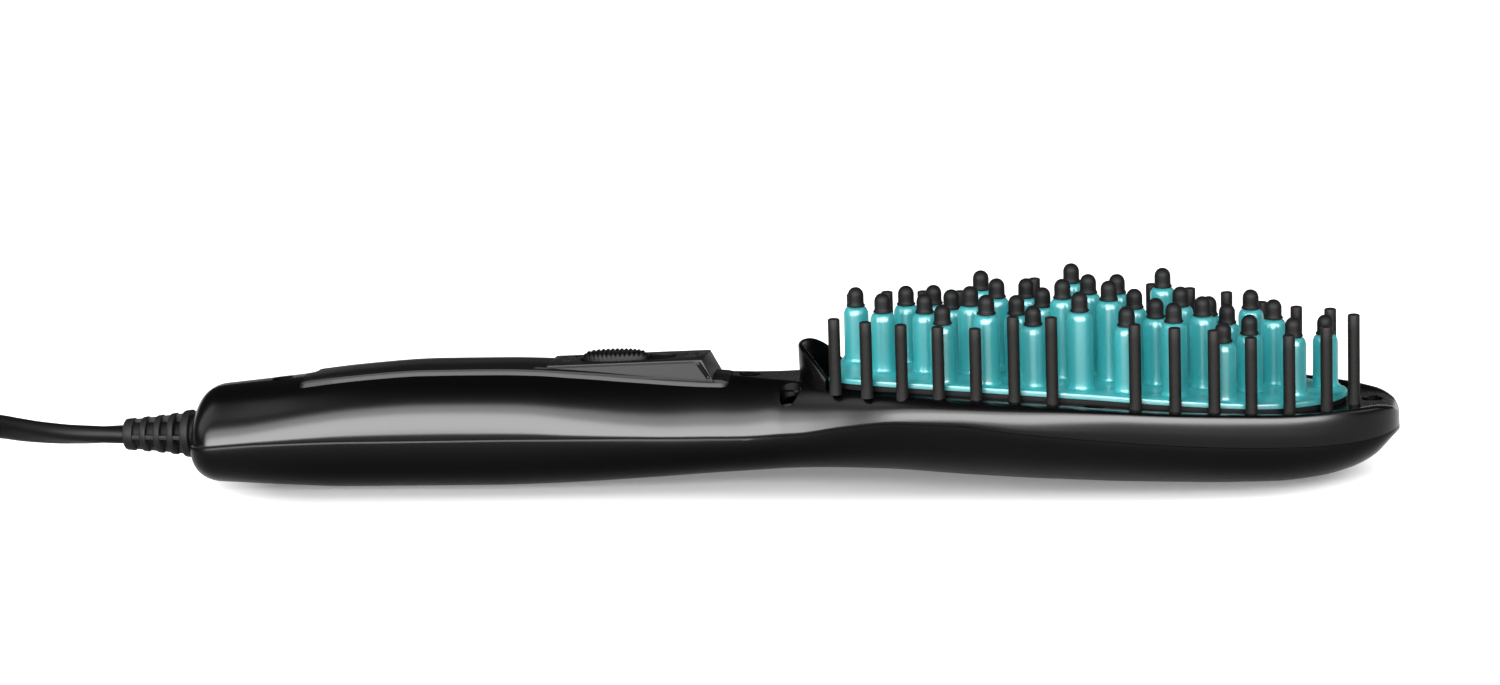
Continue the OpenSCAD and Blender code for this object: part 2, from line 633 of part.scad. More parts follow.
// Stack of one heater, hung on two bosses under the plate; heights over the floor
clamp_mid = [47, 88];
boss_dx = 17.5;
heater_top = 1;
heater_t = 2.2;
clamp_z = heater_top - heater_t - 0.6;
ear_z = -2.75;
module at_bosses() {
    for (x = clamp_mid)
        on_floor(x, 0, 0)
            for (side = [-1, 1])
                translate([side * boss_dx, 0, 0]) children();
}
module heat_plate() {
    edge = [[0, 0], [0, plate_t - 0.6], [0.2, plate_t - 0.2], [0.7, plate_t]];
    color([0.31, 0.78, 0.76])
        difference() {
            union() {
                loft([for (x = plate_x) let(z = deck_z(x) + frame_h, h = plate_half(x)) concat(
                    [for (e = edge) [x, max(0.1, h - e[0]), z + e[1]]],
                    [for (i = [3 : -1 : 0]) [x, -max(0.1, h - edge[i][0]), z + edge[i][1]]])]);
                at_bosses() translate([0, 0, ear_z]) cylinder(r = 2.4, h = 4.4, $fn = 28);
            }
            at_bosses() translate([0, 0, ear_z - 1]) cylinder(r = 1, h = 4.2, $fn = 24);
        }
}
module ceramic_heaters() {
    color([0.85, 0.83, 0.78])
        for (x = clamp_mid)
            on_floor(x, 0, 0) translate([-14, -7.5, heater_top - heater_t])
                cube([28, 15, heater_t]);
}
module heater_insulation() {
    color([0.75, 0.55, 0.2])
        for (x = clamp_mid)
            on_floor(x, 0, 0) translate([-14.5, -9, clamp_z]) cube([29, 18, 0.6]);
}
module heater_clamps() {
    color([0.75, 0.76, 0.78])
        difference() {
            for (x = clamp_mid)
                on_floor(x, 0, 0) {
                    translate([-15, -8, clamp_z - 1.4]) cube([30, 16, 1.4]);
                    for (x = [-20, 13]) translate([x, -3.5, ear_z - 0.9]) cube([7, 7, 0.9]);
                }
            at_bosses() translate([0, 0, ear_z - 2]) cylinder(r = 1.2, h = 4, $fn = 24);
        }
}
module clamp_screws() {
    color([0.6, 0.6, 0.62])
        at_bosses() translate([0, 0, ear_z - 0.9]) {
            translate([0, 0, -1.4]) cylinder(r = 1.9, h = 1.4, $fn = 24);
            translate([0, 0, -0.1]) cylinder(r = 0.95, h = 3.6, $fn = 24);
        }
}
module thermal_fuse() {
    color([0.7, 0.7, 0.72])
        on_floor(clamp_mid[0], 0, 0) translate([0, 0, clamp_z - 3.32]) rotate([90, 0, 0]) {
            cylinder(r = 1.9, h = 10, center = true, $fn = 28);
            cylinder(r = 0.5, h = 16, center = true, $fn = 16);
        }
}
module temperature_sensor() {
    color([0.75, 0.5, 0.35])
        on_floor(clamp_mid[1], 0, 0) translate([0, 0, clamp_z - 2.82]) {
            scale(1.4) sphere(r = 1, $fn = 24);
            rotate([0, -90, 0]) cylinder(r = 0.5, h = 9, $fn = 16);
        }
}

module circuit_board() {
    color([0.12, 0.4, 0.2])
        difference() {
            translate([board_x0, -8.5, board_z]) cube([board_x1 - board_x0, 17, board_t]);
            for (x = board_hole_x)
                translate([x, 0, board_z - 1]) cylinder(r = 1.2, h = 4, $fn = 24);
            for (y = [-8.5, 8.5])
                translate([board_x1, y, board_z - 1]) rotate([0, 0, 45])
                    cube([5, 5, 8], center = true);
        }
}
module board_screws() {
    color([0.6, 0.6, 0.62])
        for (x = board_hole_x)
            translate([x, 0, board_z]) {
                translate([0, 0, -1.4]) cylinder(r = 2.1, h = 1.4, $fn = 24);
                translate([0, 0, -0.1]) cylinder(r = 1.1, h = 5, $fn = 24);
            }
}
module film_capacitor() {
    color([0.75, 0.6, 0.15])
        translate([-61, -5, board_z - 8]) {
            cube([9, 10, 7.6]);
            for (y = [2, 8])
                translate([4.5, y, 7.5]) cylinder(r = 0.35, h = 0.5, $fn = 16);
        }
}
module smoothing_capacitor() {
    color([0.1, 0.15, 0.35])
        translate([-46, -3.4, board_z - 9]) {
            cylinder(r = 3.1, h = 8.4, $fn = 32);
            translate([1, 0, 8.3]) cylinder(r = 0.35, h = 0.7, $fn = 16);
        }
}
module triac() {
    color([0.1, 0.1, 0.1])
        translate([-36, -4.6, board_z - 8.6]) {
            cube([4.2, 9.2, 8]);
            for (y = [2, 4.6, 7.2])
                translate([2.1, y, 7.9]) cylinder(r = 0.4, h = 0.7, $fn = 16);
        }
}
module board_fuse() {
    color([0.85, 0.85, 0.8])
        translate([-46, 4.6, board_z - 2.6]) rotate([0, 90, 0]) {
            cylinder(r = 1.7, h = 8, center = true, $fn = 24);
            cylinder(r = 0.4, h = 11, center = true, $fn = 16);
        }
}
// Wires from the board, under the plate's frame, to the first heater and on to the next
heater_wire_route = [[-22, 5.5, 15.6], [-16, 5.5, 14.8], [-8, 6.2, 13.6], [0, 5.4, 12.8],
    [8, 4.6, 13.4], [16, 4.4, 15.2], [22, 4.4, 17.6], [26.4, 4.4, 20.4], [29, 4.4, 22],
    [31.4, 4.4, 22.7], [32.8, 4.4, 22.7]];
link_wire_route = [[61.4, 4.4, 21.2], [62.4, 4.4, 21.2], [64.6, 4.4, 20], [67.4, 4.4, 18.9],
    [70.2, 4.4, 19.1], [72.4, 4.4, 20.2], [73.7, 4.4, 20.2]];
module heater_wires() {
    color([0.8, 0.8, 0.8])
        for (side = [-1, 1], r = [heater_wire_route, link_wire_route])
            wire([for (p = r) [p[0], side * p[1], p[2]]], 0.8);
}
mains_wire_route = [[-124.4, 1.5, 11.7], [-123.6, 1.5, 11.7], [-122.4, 2.6, 12],
    [-121, 4, 12.4],
    [-118.8, 5, 12.8], [-115.6, 5.3, 13.4], [-110, 5, 14.2], [-100, 4.4, 15], [-88, 4, 15.2],
    [-78, 4, 15.2], [-70, 5.2, 15.4]];
module mains_wires() {
    color([0.35, 0.25, 0.2])
        for (side = [-1, 1])
            wire([for (p = mains_wire_route) [p[0], side * p[1], p[2]]], 1);
}

// Sleeve and clamp at the cord's entry
cord_z = 11.65;
sleeve_neck_r = 4.4;
sleeve_end = -157.8;
sleeve_rings = [[-157.8, 2.4, 3.8], [-153.6, 1.6, 4.15], [-150.1, 1.6, 4.5],
    [-146.7, 1.6, 4.9], [-143.3, 2.1, 5.6]];
clamp_x = -127.6;
clamp_y = 7.2;
module strain_relief() {
    color([0.12, 0.12, 0.125])
        translate([0, 0, cord_z]) rotate([0, 90, 0]) {
            translate([0, 0, sleeve_end]) cylinder(r = 3.1, h = 23, $fn = 32);
            for (ring = sleeve_rings)
                translate([0, 0, ring[0]])
                    cylinder(r1 = ring[2] - 0.15, r2 = ring[2] + 0.1, h = ring[1], $fn = 40);
            intersection() {
                translate([0, 0, sleeve_end]) cylinder(r1 = 3.65, r2 = 5.3, h = 16, $fn = 40);
                union() {
                    translate([-0.9, -8, sleeve_end]) cube([1.8, 16, 16]);
                    translate([-8, -0.9, sleeve_end]) cube([16, 1.8, 16]);
                }
            }
            translate([0, 0, -141.6]) cylinder(r = sleeve_neck_r, h = 5.2, $fn = 32);
            translate([0, 0, -136.7]) cylinder(r = 6.4, h = 1.9, $fn = 32);
        }
}
module cord_inner_end() {
    color([0.08, 0.08, 0.085])
        loft([for (x = [-134.8, -130, -124.4]) [for (k = [0 : 11])
            [x, cord_w / 2 * cos(30 * k), cord_z + cord_t / 2 * sin(30 * k)]]]);
}
module cord_clamp() {
    color([0.13, 0.13, 0.135])
        difference() {
            translate([clamp_x - 2.5, -9.6, cord_z + cord_t / 2]) cube([5, 19.2, 2.4]);
            for (y = [-1, 1])
                translate([clamp_x, y * clamp_y, cord_z]) cylinder(r = 1.2, h = 8, $fn = 24);
        }
}
module cord_clamp_screws() {
    color([0.6, 0.6, 0.62])
        for (y = [-1, 1])
            translate([clamp_x, y * clamp_y, cord_z + cord_t / 2 + 2.4]) {
                cylinder(r = 2, h = 1.4, $fn = 24);
                translate([0, 0, -9]) cylinder(r = 1, h = 9.1, $fn = 24);
            }
}

module cord_lead() {
    route = concat(lead_route, [coil_in - 4 * coil_dir, coil_in]);
    color([0.07, 0.07, 0.075])
        loft([for (i = [0 : len(route) - 1])
            cord_ring(route, i, lead_edge(route[i][0]), 12, 0)]);
}
module cord_coil() {
    color([0.07, 0.07, 0.075])
        loft([for (i = [0 : len(coil_route) - 1])
            cord_ring(coil_route, i, 1, 6, tied(coil_route[i]))]);
}
module cord_tail() {
    route = concat([coil_out, coil_out + 4 * coil_dir],
        [for (p = tail_route) [p[0] + coil_mid[0], p[1] + coil_mid[1], p[2]]]);
    last = len(route) - 1;
    color([0.07, 0.07, 0.075])
        loft([for (i = [0 : last]) cord_ring(route, i, min(1, (last - i) / 5), 12, 0)]);
}
module cord_tie() {
    inner_r = turn_r(reverse_at - 0.25) - cord_t / 2 - 0.5;
    outer_r = turn_r(coil_turns - 0.25) + cord_t / 2 + 0.4;
    top = bottom_z + layer_rise + cord_w / 2 + 0.15;
    color([0.1, 0.1, 0.105])
        translate([coil_mid[0], coil_mid[1], 0]) rotate([0, 0, tie_angle])
            difference() {
                translate([inner_r - tie_t, -tie_w / 2, 0])
                    cube([outer_r - inner_r + 2 * tie_t, tie_w, top + tie_t]);
                translate([inner_r, -tie_w, tie_t])
                    cube([outer_r - inner_r, 2 * tie_w, top - tie_t]);
            }
}
module at_plug() {
    end = tail_route[len(tail_route) - 1];
    translate([coil_mid[0] + end[0], coil_mid[1] + end[1], end[2]])
        rotate([0, 0, -90]) children();
}
// Flat two-pin plug: distance along it, half-width and half-thickness
plug_shape = [[8, 4.8, 4.6], [10, 7, 5.6], [13, 9.4, 6.4], [17, 11.4, 6.9], [22, 12.6, 7],
    [28, 13, 7], [35, 12.9, 6.9], [38, 12.4, 6.6], [39, 11.8, 6.1]];
module plug_body() {
    color([0.08, 0.08, 0.085])
        at_plug() {
            rotate([0, 90, 0]) cylinder(r1 = 3.6, r2 = 4.6, h = 9, $fn = 32);
            difference() {
                loft([for (p = plug_shape) [for (k = [0 : 19])
                    let(c = cos(18 * k), s = sin(18 * k))
                    [p[0], p[1] * sign(c) * pow(abs(c), 0.62), p[2] * sign(s) * pow(abs(s), 0.62)]]]);
                for (y = [-9.3, 9.3])
                    translate([32, y, 0]) rotate([0, 90, 0]) cylinder(r = 2, h = 12, $fn = 28);
            }
        }
}
module plug_pins() {
    color([0.75, 0.75, 0.77])
        at_plug()
            for (y = [-9.3, 9.3])
                translate([32, y, 0]) rotate([0, 90, 0]) {
                    cylinder(r = 2, h = 25, $fn = 28);
                    translate([0, 0, 25]) cylinder(r1 = 2, r2 = 1.3, h = 0.8, $fn = 28);
                }
}

upper_shell();
lower_shell();
control_panel();
switch_knob();
switch_lever();
switch_body();
hair_guard();
plate_frame();
heat_plate();
bristle_row(0);  // heated_bristles_row_1
bristle_row(1);  // heated_bristles_row_2
bristle_row(2);  // heated_bristles_row_3
bristle_row(3);  // heated_bristles_row_4
tip_row(0);  // bristle_tips_row_1
tip_row(1);  // bristle_tips_row_2
tip_row(2);  // bristle_tips_row_3
tip_row(3);  // bristle_tips_row_4
guard_pins_front();
guard_pins_rear();
guard_pin_tip();
ceramic_heaters();
heater_insulation();
heater_clamps();
clamp_screws();
thermal_fuse();
temperature_sensor();
circuit_board();
film_capacitor();
smoothing_capacitor();
triac();
board_fuse();
board_screws();
heater_wires();
mains_wires();
cord_clamp();
cord_clamp_screws();
cord_inner_end();
housing_screws();
strain_relief();
cord_lead();
cord_coil();
cord_tail();
cord_tie();
plug_body();
plug_pins();
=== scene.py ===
import math

import bmesh
import bpy
from mathutils import Matrix, Vector
from mathutils.bvhtree import BVHTree


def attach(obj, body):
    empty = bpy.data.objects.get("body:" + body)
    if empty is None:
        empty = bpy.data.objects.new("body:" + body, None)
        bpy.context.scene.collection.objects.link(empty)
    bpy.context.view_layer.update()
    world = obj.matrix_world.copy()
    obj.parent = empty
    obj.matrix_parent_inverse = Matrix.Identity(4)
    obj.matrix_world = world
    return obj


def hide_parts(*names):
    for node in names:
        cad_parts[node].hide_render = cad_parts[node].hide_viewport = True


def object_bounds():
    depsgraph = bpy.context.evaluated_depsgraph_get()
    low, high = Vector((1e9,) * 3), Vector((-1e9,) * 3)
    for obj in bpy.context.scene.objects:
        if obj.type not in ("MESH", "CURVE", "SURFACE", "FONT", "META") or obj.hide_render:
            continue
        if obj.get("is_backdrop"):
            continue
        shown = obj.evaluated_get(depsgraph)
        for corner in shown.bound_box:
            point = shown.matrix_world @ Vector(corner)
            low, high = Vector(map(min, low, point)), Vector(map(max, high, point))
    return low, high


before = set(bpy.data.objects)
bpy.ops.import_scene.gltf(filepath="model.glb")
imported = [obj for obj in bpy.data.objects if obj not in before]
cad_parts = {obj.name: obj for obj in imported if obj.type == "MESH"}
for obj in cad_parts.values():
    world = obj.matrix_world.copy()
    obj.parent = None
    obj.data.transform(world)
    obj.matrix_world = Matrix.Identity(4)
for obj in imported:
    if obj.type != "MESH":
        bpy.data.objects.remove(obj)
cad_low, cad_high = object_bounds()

# Camera. The view is low and a little to the right of the brush's side, from about
# one metre, with a long lens, so the handle and the head are seen nearly square on.
view_right = Vector((0.98385, 0.1725, -0.0524))
view_up = Vector((0.0152, 0.2105, 0.9777))
view_back = Vector((0.1797, -0.9623, 0.2045))
view_place = Vector((0.1711, -0.9553, 0.2344))
camera = bpy.data.objects.new("photo_camera", bpy.data.cameras.new("photo_camera"))
bpy.context.scene.collection.objects.link(camera)
view_turn = Matrix((view_right, view_up, view_back)).transposed()
camera.matrix_world = Matrix.Translation(view_place) @ view_turn.to_4x4()
camera.data.sensor_width = 36
camera.data.lens = 104.13
camera.data.clip_start = 0.01
camera.data.clip_end = 20
bpy.context.scene.camera = camera
bpy.context.scene.view_settings.view_transform = "Standard"


# Mains cord. A flat two-core lead in soft black PVC, extruded in one length of 1.8 m:
# out of the sleeve, round on the table into a tied coil in two layers, then over the
# coil to its plug.
MM = 0.001


def surface(name, tint, second_tint, patch_mm, rough, grain_mm, grain_depth,
            metal=0.0, coat=0.0, coat_rough=0.1, sheen=0.0, specular=0.5, wear_and_highlight=0.0):
    """A finish whose tint and gloss drift over patches, with a fine grain in relief.

    rough is its (lowest, highest) roughness; its last argument lightens raised edges: wear and
    painted highlight.
    """
    material = bpy.data.materials.new(name)
    material.use_nodes = True
    nodes, link = material.node_tree.nodes, material.node_tree.links.new
    shader = nodes["Principled BSDF"]
    shader.inputs["Metallic"].default_value = metal
    shader.inputs["Coat Weight"].default_value = coat
    shader.inputs["Coat Roughness"].default_value = coat_rough
    shader.inputs["Sheen Weight"].default_value = sheen
    shader.inputs["Sheen Roughness"].default_value = 0.4
    shader.inputs["Specular IOR Level"].default_value = specular
    place = nodes.new("ShaderNodeTexCoord")
    patches = nodes.new("ShaderNodeTexNoise")
    patches.inputs["Scale"].default_value = 1 / (patch_mm * MM)
    patches.inputs["Detail"].default_value = 4
    link(place.outputs["Object"], patches.inputs["Vector"])
    tints = nodes.new("ShaderNodeMix")
    tints.data_type = "RGBA"
    tints.inputs["A"].default_value = (*tint, 1)
    tints.inputs["B"].default_value = (*second_tint, 1)
    link(patches.outputs["Fac"], tints.inputs["Factor"])
    colour = tints.outputs["Result"]
    grain = nodes.new("ShaderNodeTexNoise")
    grain.inputs["Scale"].default_value = 1 / (grain_mm * MM)
    grain.inputs["Detail"].default_value = 3
    link(place.outputs["Object"], grain.inputs["Vector"])
    gloss = nodes.new("ShaderNodeMapRange")
    gloss.inputs["To Min"].default_value = rough[0]
    gloss.inputs["To Max"].default_value = rough[1]
    link(patches.outputs["Fac"], gloss.inputs["Value"])
    link(gloss.outputs["Result"], shader.inputs["Roughness"])
    relief = nodes.new("ShaderNodeBump")
    relief.inputs["Strength"].default_value = 1
    relief.inputs["Distance"].default_value = grain_depth * MM
    link(grain.outputs["Fac"], relief.inputs["Height"])
    link(relief.outputs["Normal"], shader.inputs["Normal"])
    # Convex edges, found by pointiness, are lightened: partly wear, partly a painted highlight
    if wear_and_highlight:
        shape = nodes.new("ShaderNodeNewGeometry")
        edges = nodes.new("ShaderNodeMapRange")
        edges.inputs["From Min"].default_value = 0.52
        edges.inputs["From Max"].default_value = 0.62
        edges.inputs["To Max"].default_value = wear_and_highlight
        link(shape.outputs["Pointiness"], edges.inputs["Value"])
        worn_and_lit = nodes.new("ShaderNodeMix")
        worn_and_lit.data_type = "RGBA"
        worn_and_lit.inputs["B"].default_value = (*[min(1, 2.2 * c + 0.05) for c in tint], 1)
        link(edges.outputs["Result"], worn_and_lit.inputs["Factor"])
        link(colour, worn_and_lit.inputs["A"])
        colour = worn_and_lit.outputs["Result"]
    link(colour, shader.inputs["Base Color"])
    return material


def moulding(name, points, faces, material, body="brush", sharp=35):
    """A piece from points in millimetres, smooth but for edges sharper than an angle."""
    mesh = bpy.data.meshes.new(name)
    mesh.from_pydata([[c * MM for c in p] for p in points], [], faces)
    mesh.validate()
    shape = bmesh.new()
    shape.from_mesh(mesh)
    bmesh.ops.remove_doubles(shape, verts=shape.verts, dist=1e-7)
    bmesh.ops.recalc_face_normals(shape, faces=shape.faces)
    shape.to_mesh(mesh)
    shape.free()
    mesh.shade_smooth()
    mesh.set_sharp_from_angle(angle=math.radians(sharp))
    mesh.materials.append(material)
    piece = bpy.data.objects.new(name, mesh)
    bpy.context.scene.collection.objects.link(piece)
    if body:
        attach(piece, body)
    return piece


def through(rings, ends=True):
    """Points and faces of a skin through rings of one length, closed at both ends."""
    count = len(rings[0])
    points = [p for ring in rings for p in ring]
    faces = [(i * count + j, (i + 1) * count + j, (i + 1) * count + (j + 1) % count,
              i * count + (j + 1) % count)
             for i in range(len(rings) - 1) for j in range(count)]
    if ends:
        faces.append(tuple(range(count)))
        faces.append(tuple(range(len(points) - 1, len(points) - 1 - count, -1)))
    return points, faces


def between(a, b, share):
    """The value that lies a share of the way from a to b."""
    return a + (b - a) * share


def eased(share):
    """A share from 0 to 1 that starts and ends gently."""
    share = min(1, max(0, share))
    return share * share * (3 - 2 * share)


def rounded_route(corners, steps):
    """A smooth line through points: every span is cut into steps."""
    route = []
    for i in range(len(corners) - 1):
        before, start = corners[max(i - 1, 0)], corners[i]
        end, after = corners[i + 1], corners[min(i + 2, len(corners) - 1)]
        for k in range(steps):
            t = k / steps
            route.append(start + 0.5 * t * (end - before + t * (
                2 * before - 5 * start + 4 * end - after
                + t * (3 * (start - end) + after - before))))
    return route + [corners[-1]]


cord_width, cord_thick, cord_z, cord_turn_run = 5.8, 4.2, 11.65, 38
lead_corners = [
    (-157.8, 0, 11.65), (-163.6, 0, 11.65), (-168.6, 0.3, 11.65), (-173.4, 1.1, 11.65),
    (-178.2, 2.5, 11.65), (-183, 4.5, 11.65), (-187.6, 7, 11.6), (-192, 9.9, 11.5),
    (-196.2, 13, 11), (-200.2, 16, 9.9), (-204, 18.6, 8.3), (-207.8, 20.8, 6.3),
    (-211.6, 22.5, 4.4)]
coil_x, coil_y, coil_r, coil_step, coil_turns, coil_start = -246, -8, 43, 4.8, 8, 60
coil_low, coil_high = 2.95, 8.78
tie_angle = 330
tail_corners = [
    (7.4, 44.4, 9.6), (1.8, 45, 10.8), (-3.8, 44.6, 12.2), (-9.2, 43, 13.6),
    (-14.2, 40.2, 15), (-18.6, 36.4, 16.3), (-22.2, 31.8, 17.4), (-25, 26.6, 18.2),
    (-27, 21, 18.6), (-27.6, 17.2, 18.65), (-27.6, 13, 18.65)]


def coil_radius(turn):
    """The coil winds inwards in its lower layer and outwards in its upper one."""
    return coil_r - coil_step * coil_turns / 2 + coil_step * abs(turn - coil_turns / 2)


def coil_point(turn):
    """Middle of the cord after so many turns: halfway it climbs onto the upper layer."""
    angle = math.radians(coil_start + 360 * turn)
    climb = eased((turn - coil_turns / 2) * 2 + 0.5)
    return Vector((coil_x + coil_radius(turn) * math.cos(angle),
                   coil_y + coil_radius(turn) * math.sin(angle),
                   between(coil_low, coil_high, climb)))


coil_way = Vector((-math.sin(math.radians(coil_start)), math.cos(math.radians(coil_start)), 0))
coil_in = coil_point(0) - cord_width * coil_way
coil_out = coil_point(coil_turns) + cord_width * coil_way
lead = [Vector(p) for p in lead_corners] + [coil_in - 4 * coil_way, coil_in]
tail = [coil_out, coil_out + 4 * coil_way] + [
    Vector((coil_x + p[0], coil_y + p[1], p[2])) for p in tail_corners]
fine, turn_points = 4, 48
lead_line, tail_line = rounded_route(lead, fine), rounded_route(tail, fine)
turns_line = [coil_point(i / turn_points) for i in range(turn_points * coil_turns + 1)]
cord_line = lead_line + turns_line + tail_line
cord_turned = (
    [min(1, max(0, (lead[0].x - p.x) / cord_turn_run)) for p in lead_line]
    + [1] * len(turns_line)
    + [min(1, (len(tail) - 1 - i / fine) / 5) for i in range(len(tail_line))])
# The cord leaves the sleeve flat, lies on its edge along the coil, and ends flat in the plug
cord_rings = []
for i, middle in enumerate(cord_line):
    along = (cord_line[min(i + 1, len(cord_line) - 1)] - cord_line[max(i - 1, 0)]).normalized()
    across = Vector((0, 0, 1)).cross(along).normalized()
    over = along.cross(across)
    twist = math.radians(90 * cord_turned[i])
    ring = []
    for k in range(20):
        angle = math.radians(18 * k)
        u = cord_width / 2 * math.copysign(abs(math.cos(angle)) ** 0.8, math.cos(angle))
        v = cord_thick / 2 * math.copysign(abs(math.sin(angle)) ** 0.9, math.sin(angle))
        # The two cores show as a slight waist along the middle of each flat side
        v *= 1 - 0.07 * math.exp(-(u / 0.7) ** 2)
        ring.append(middle + across * (u * math.cos(twist) - v * math.sin(twist))
                    + over * (u * math.sin(twist) + v * math.cos(twist)))
    cord_rings.append([(p.x, p.y, max(p.z, 0.02)) for p in ring])
cord_pvc = surface("cord_pvc", (0.006, 0.006, 0.0063), (0.01, 0.01, 0.0105), 9, (0.36, 0.5),
                   0.35, 0.02, specular=0.035)
cord = moulding("mains_cord", *through(cord_rings), cord_pvc, sharp=60)
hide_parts("cord_lead", "cord_coil", "cord_tail")
cord_length = sum((b - a).length for a, b in zip(cord_line, cord_line[1:]))


# Sleeve. A ribbed strain relief in soft black PVC, moulded onto the cord and gripped by
# the rear wall of both shells; four thin webs join its ribs over a near-black core, painted shade
# for the gaps between the ribs.
def turned(profile, sides=48):
    """Rings of a turned shape about the Z axis, from pairs of radius and height."""
    return [[(r * math.cos(2 * math.pi * k / sides), r * math.sin(2 * math.pi * k / sides), z)
             for k in range(sides)] for r, z in profile]


def rounded_profile(corners, radius, steps=3):
    """A turned profile whose corners are cut by small arcs."""
    line = [corners[0]]
    for before, corner, after in zip(corners, corners[1:], corners[2:]):
        a, b, c = (Vector(p) for p in (before, corner, after))
        reach = min(radius, 0.45 * (a - b).length, 0.45 * (c - b).length)
        start, end = b + (a - b).normalized() * reach, b + (c - b).normalized() * reach
        for k in range(steps + 1):
            t = k / steps
            line.append(tuple(start * (1 - t) ** 2 + b * 2 * t * (1 - t) + end * t * t))
    return line + [corners[-1]]


def joined(*shapes):
    """Several closed skins, each (points, faces), as one list of points and faces."""
    points, faces = [], []
    for more_points, more_faces in shapes:
        shift = len(points)
        points += more_points
        faces += [tuple(i + shift for i in face) for face in more_faces]
    return points, faces


def placed(shape, matrix):
    """Points and faces moved by a matrix."""
    points, faces = shape
    return [tuple(matrix @ Vector(p)) for p in points], faces


sleeve_ribs = [(-157.8, 2.4, 3.8), (-153.6, 1.6, 4.15), (-150.1, 1.6, 4.5),
               (-146.7, 1.6, 4.9), (-143.3, 2.1, 5.6)]
along_x = Matrix.Translation((0, 0, cord_z)) @ Matrix.Rotation(math.radians(90), 4, "Y")
sleeve_parts = []
for start, long, radius in sleeve_ribs:
    sleeve_parts.append(through(turned(rounded_profile(
        [(0.01, start), (radius - 0.15, start), (radius + 0.1, start + long),
         (0.01, start + long)], 0.45))))
root_start, flange_start, flange_end, root_r, flange_r = -141.7, -136.6, -134.8, 4.4, 6.4
sleeve_parts.append(through(turned(rounded_profile(
    [(0.01, root_start), (root_r, root_start), (root_r, flange_start),
     (flange_r, flange_start), (flange_r, flange_end), (0.01, flange_end)], 0.3))))
for angle in (0, 90, 180, 270):
    web = [[(x, y, z) for x, y in ((2.4, -0.55), (reach, -0.45), (reach + 0.1, 0),
                                   (reach, 0.45), (2.4, 0.55))]
           for z, reach in ((-157, 3.4), (-150, 4.1), (-142.5, 4.9))]
    sleeve_parts.append(placed(through(web), Matrix.Rotation(math.radians(angle), 4, "Z")))
# Its rib edges are lightened strongly: partly wear, partly a painted highlight that makes the ribs
# read lit
sleeve_pvc = surface("sleeve_pvc", (0.012, 0.012, 0.0125), (0.02, 0.02, 0.0205), 6,
                     (0.45, 0.6), 0.25, 0.03, specular=0.04, wear_and_highlight=0.5)
sleeve = moulding("cord_sleeve", *placed(joined(*sleeve_parts), along_x), sleeve_pvc, sharp=40)
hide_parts("strain_relief")
# The core's finish is ten times darker than the sleeve's: painted shade, so that the gaps between
# the ribs read dark
core_painted_shade = surface("core_painted_shade", (0.0012, 0.0012, 0.0013), (0.002, 0.002, 0.0021), 4, (0.6, 0.75),
                   0.25, 0.02, specular=0.05)
sleeve_core_painted_shade = moulding("sleeve_core_painted_shade", *placed(through(turned(
    [(0.01, -157.6), (2.95, -157.6), (3.1, -140), (0.01, -140)])), along_x), core_painted_shade, sharp=40)


# Plug and tie. A flat two-pin plug moulded onto the end of the cord, with nickel-plated
# round pins, and a hook-and-loop strap that holds the turns of the coil together.
plug_z, plug_x, plug_y = 18.65, coil_x - 27.6, coil_y + 13
at_plug = Matrix.Translation((plug_x, plug_y, plug_z)) @ Matrix.Rotation(math.radians(-90), 4, "Z")
plug_shape = [
    (7.6, 3.6, 3.4), (8, 4.8, 4.6), (10, 7, 5.6), (13, 9.4, 6.4), (17, 11.4, 6.9),
    (22, 12.6, 7), (28, 13, 7), (35, 12.9, 6.9), (38, 12.4, 6.6), (38.7, 11.95, 6.2),
    (39, 11.3, 5.6)]
plug_line = [Vector(p) for p in plug_shape]
plug_rings = []
for station in rounded_route(plug_line, 3):
    ring = []
    for k in range(40):
        c, s = math.cos(math.radians(9 * k)), math.sin(math.radians(9 * k))
        ring.append((station.x, station.y * math.copysign(abs(c) ** 0.62, c),
                     station.z * math.copysign(abs(s) ** 0.62, s)))
    plug_rings.append(ring)
neck = [through([[(z, y, x) for x, y, z in ring] for ring in turned(rounded_profile(
    [(0.01, start), (r, start), (r + 0.35, start + 1.9), (0.01, start + 1.9)], 0.3), 36)])
    for start, r in ((0, 3.5), (2.7, 3.9), (5.4, 4.3))]
neck.append(through([[(z, y, x) for x, y, z in ring] for ring in turned(
    [(0.01, 0.2), (3.15, 0.2), (3.6, 9), (0.01, 9)], 36)]))
plug = moulding("plug", *placed(joined(through(plug_rings), *neck), at_plug), sleeve_pvc,
                sharp=40)
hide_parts("plug_body")
nickel = surface("nickel_plate", (0.62, 0.61, 0.58), (0.7, 0.69, 0.67), 5, (0.16, 0.3), 0.2,
                 0.004, metal=1.0)
pins = []
for side in (-9.3, 9.3):
    pins.append(placed(through([[(z, y, x) for x, y, z in ring] for ring in turned(
        rounded_profile([(0.01, 33), (2, 33), (2, 57.2), (1.3, 57.8), (0.01, 57.8)], 0.5), 32)]),
        at_plug @ Matrix.Translation((0, side, 0))))
plug_pins = moulding("plug_contacts", *joined(*pins), nickel, sharp=40)
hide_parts("plug_pins")

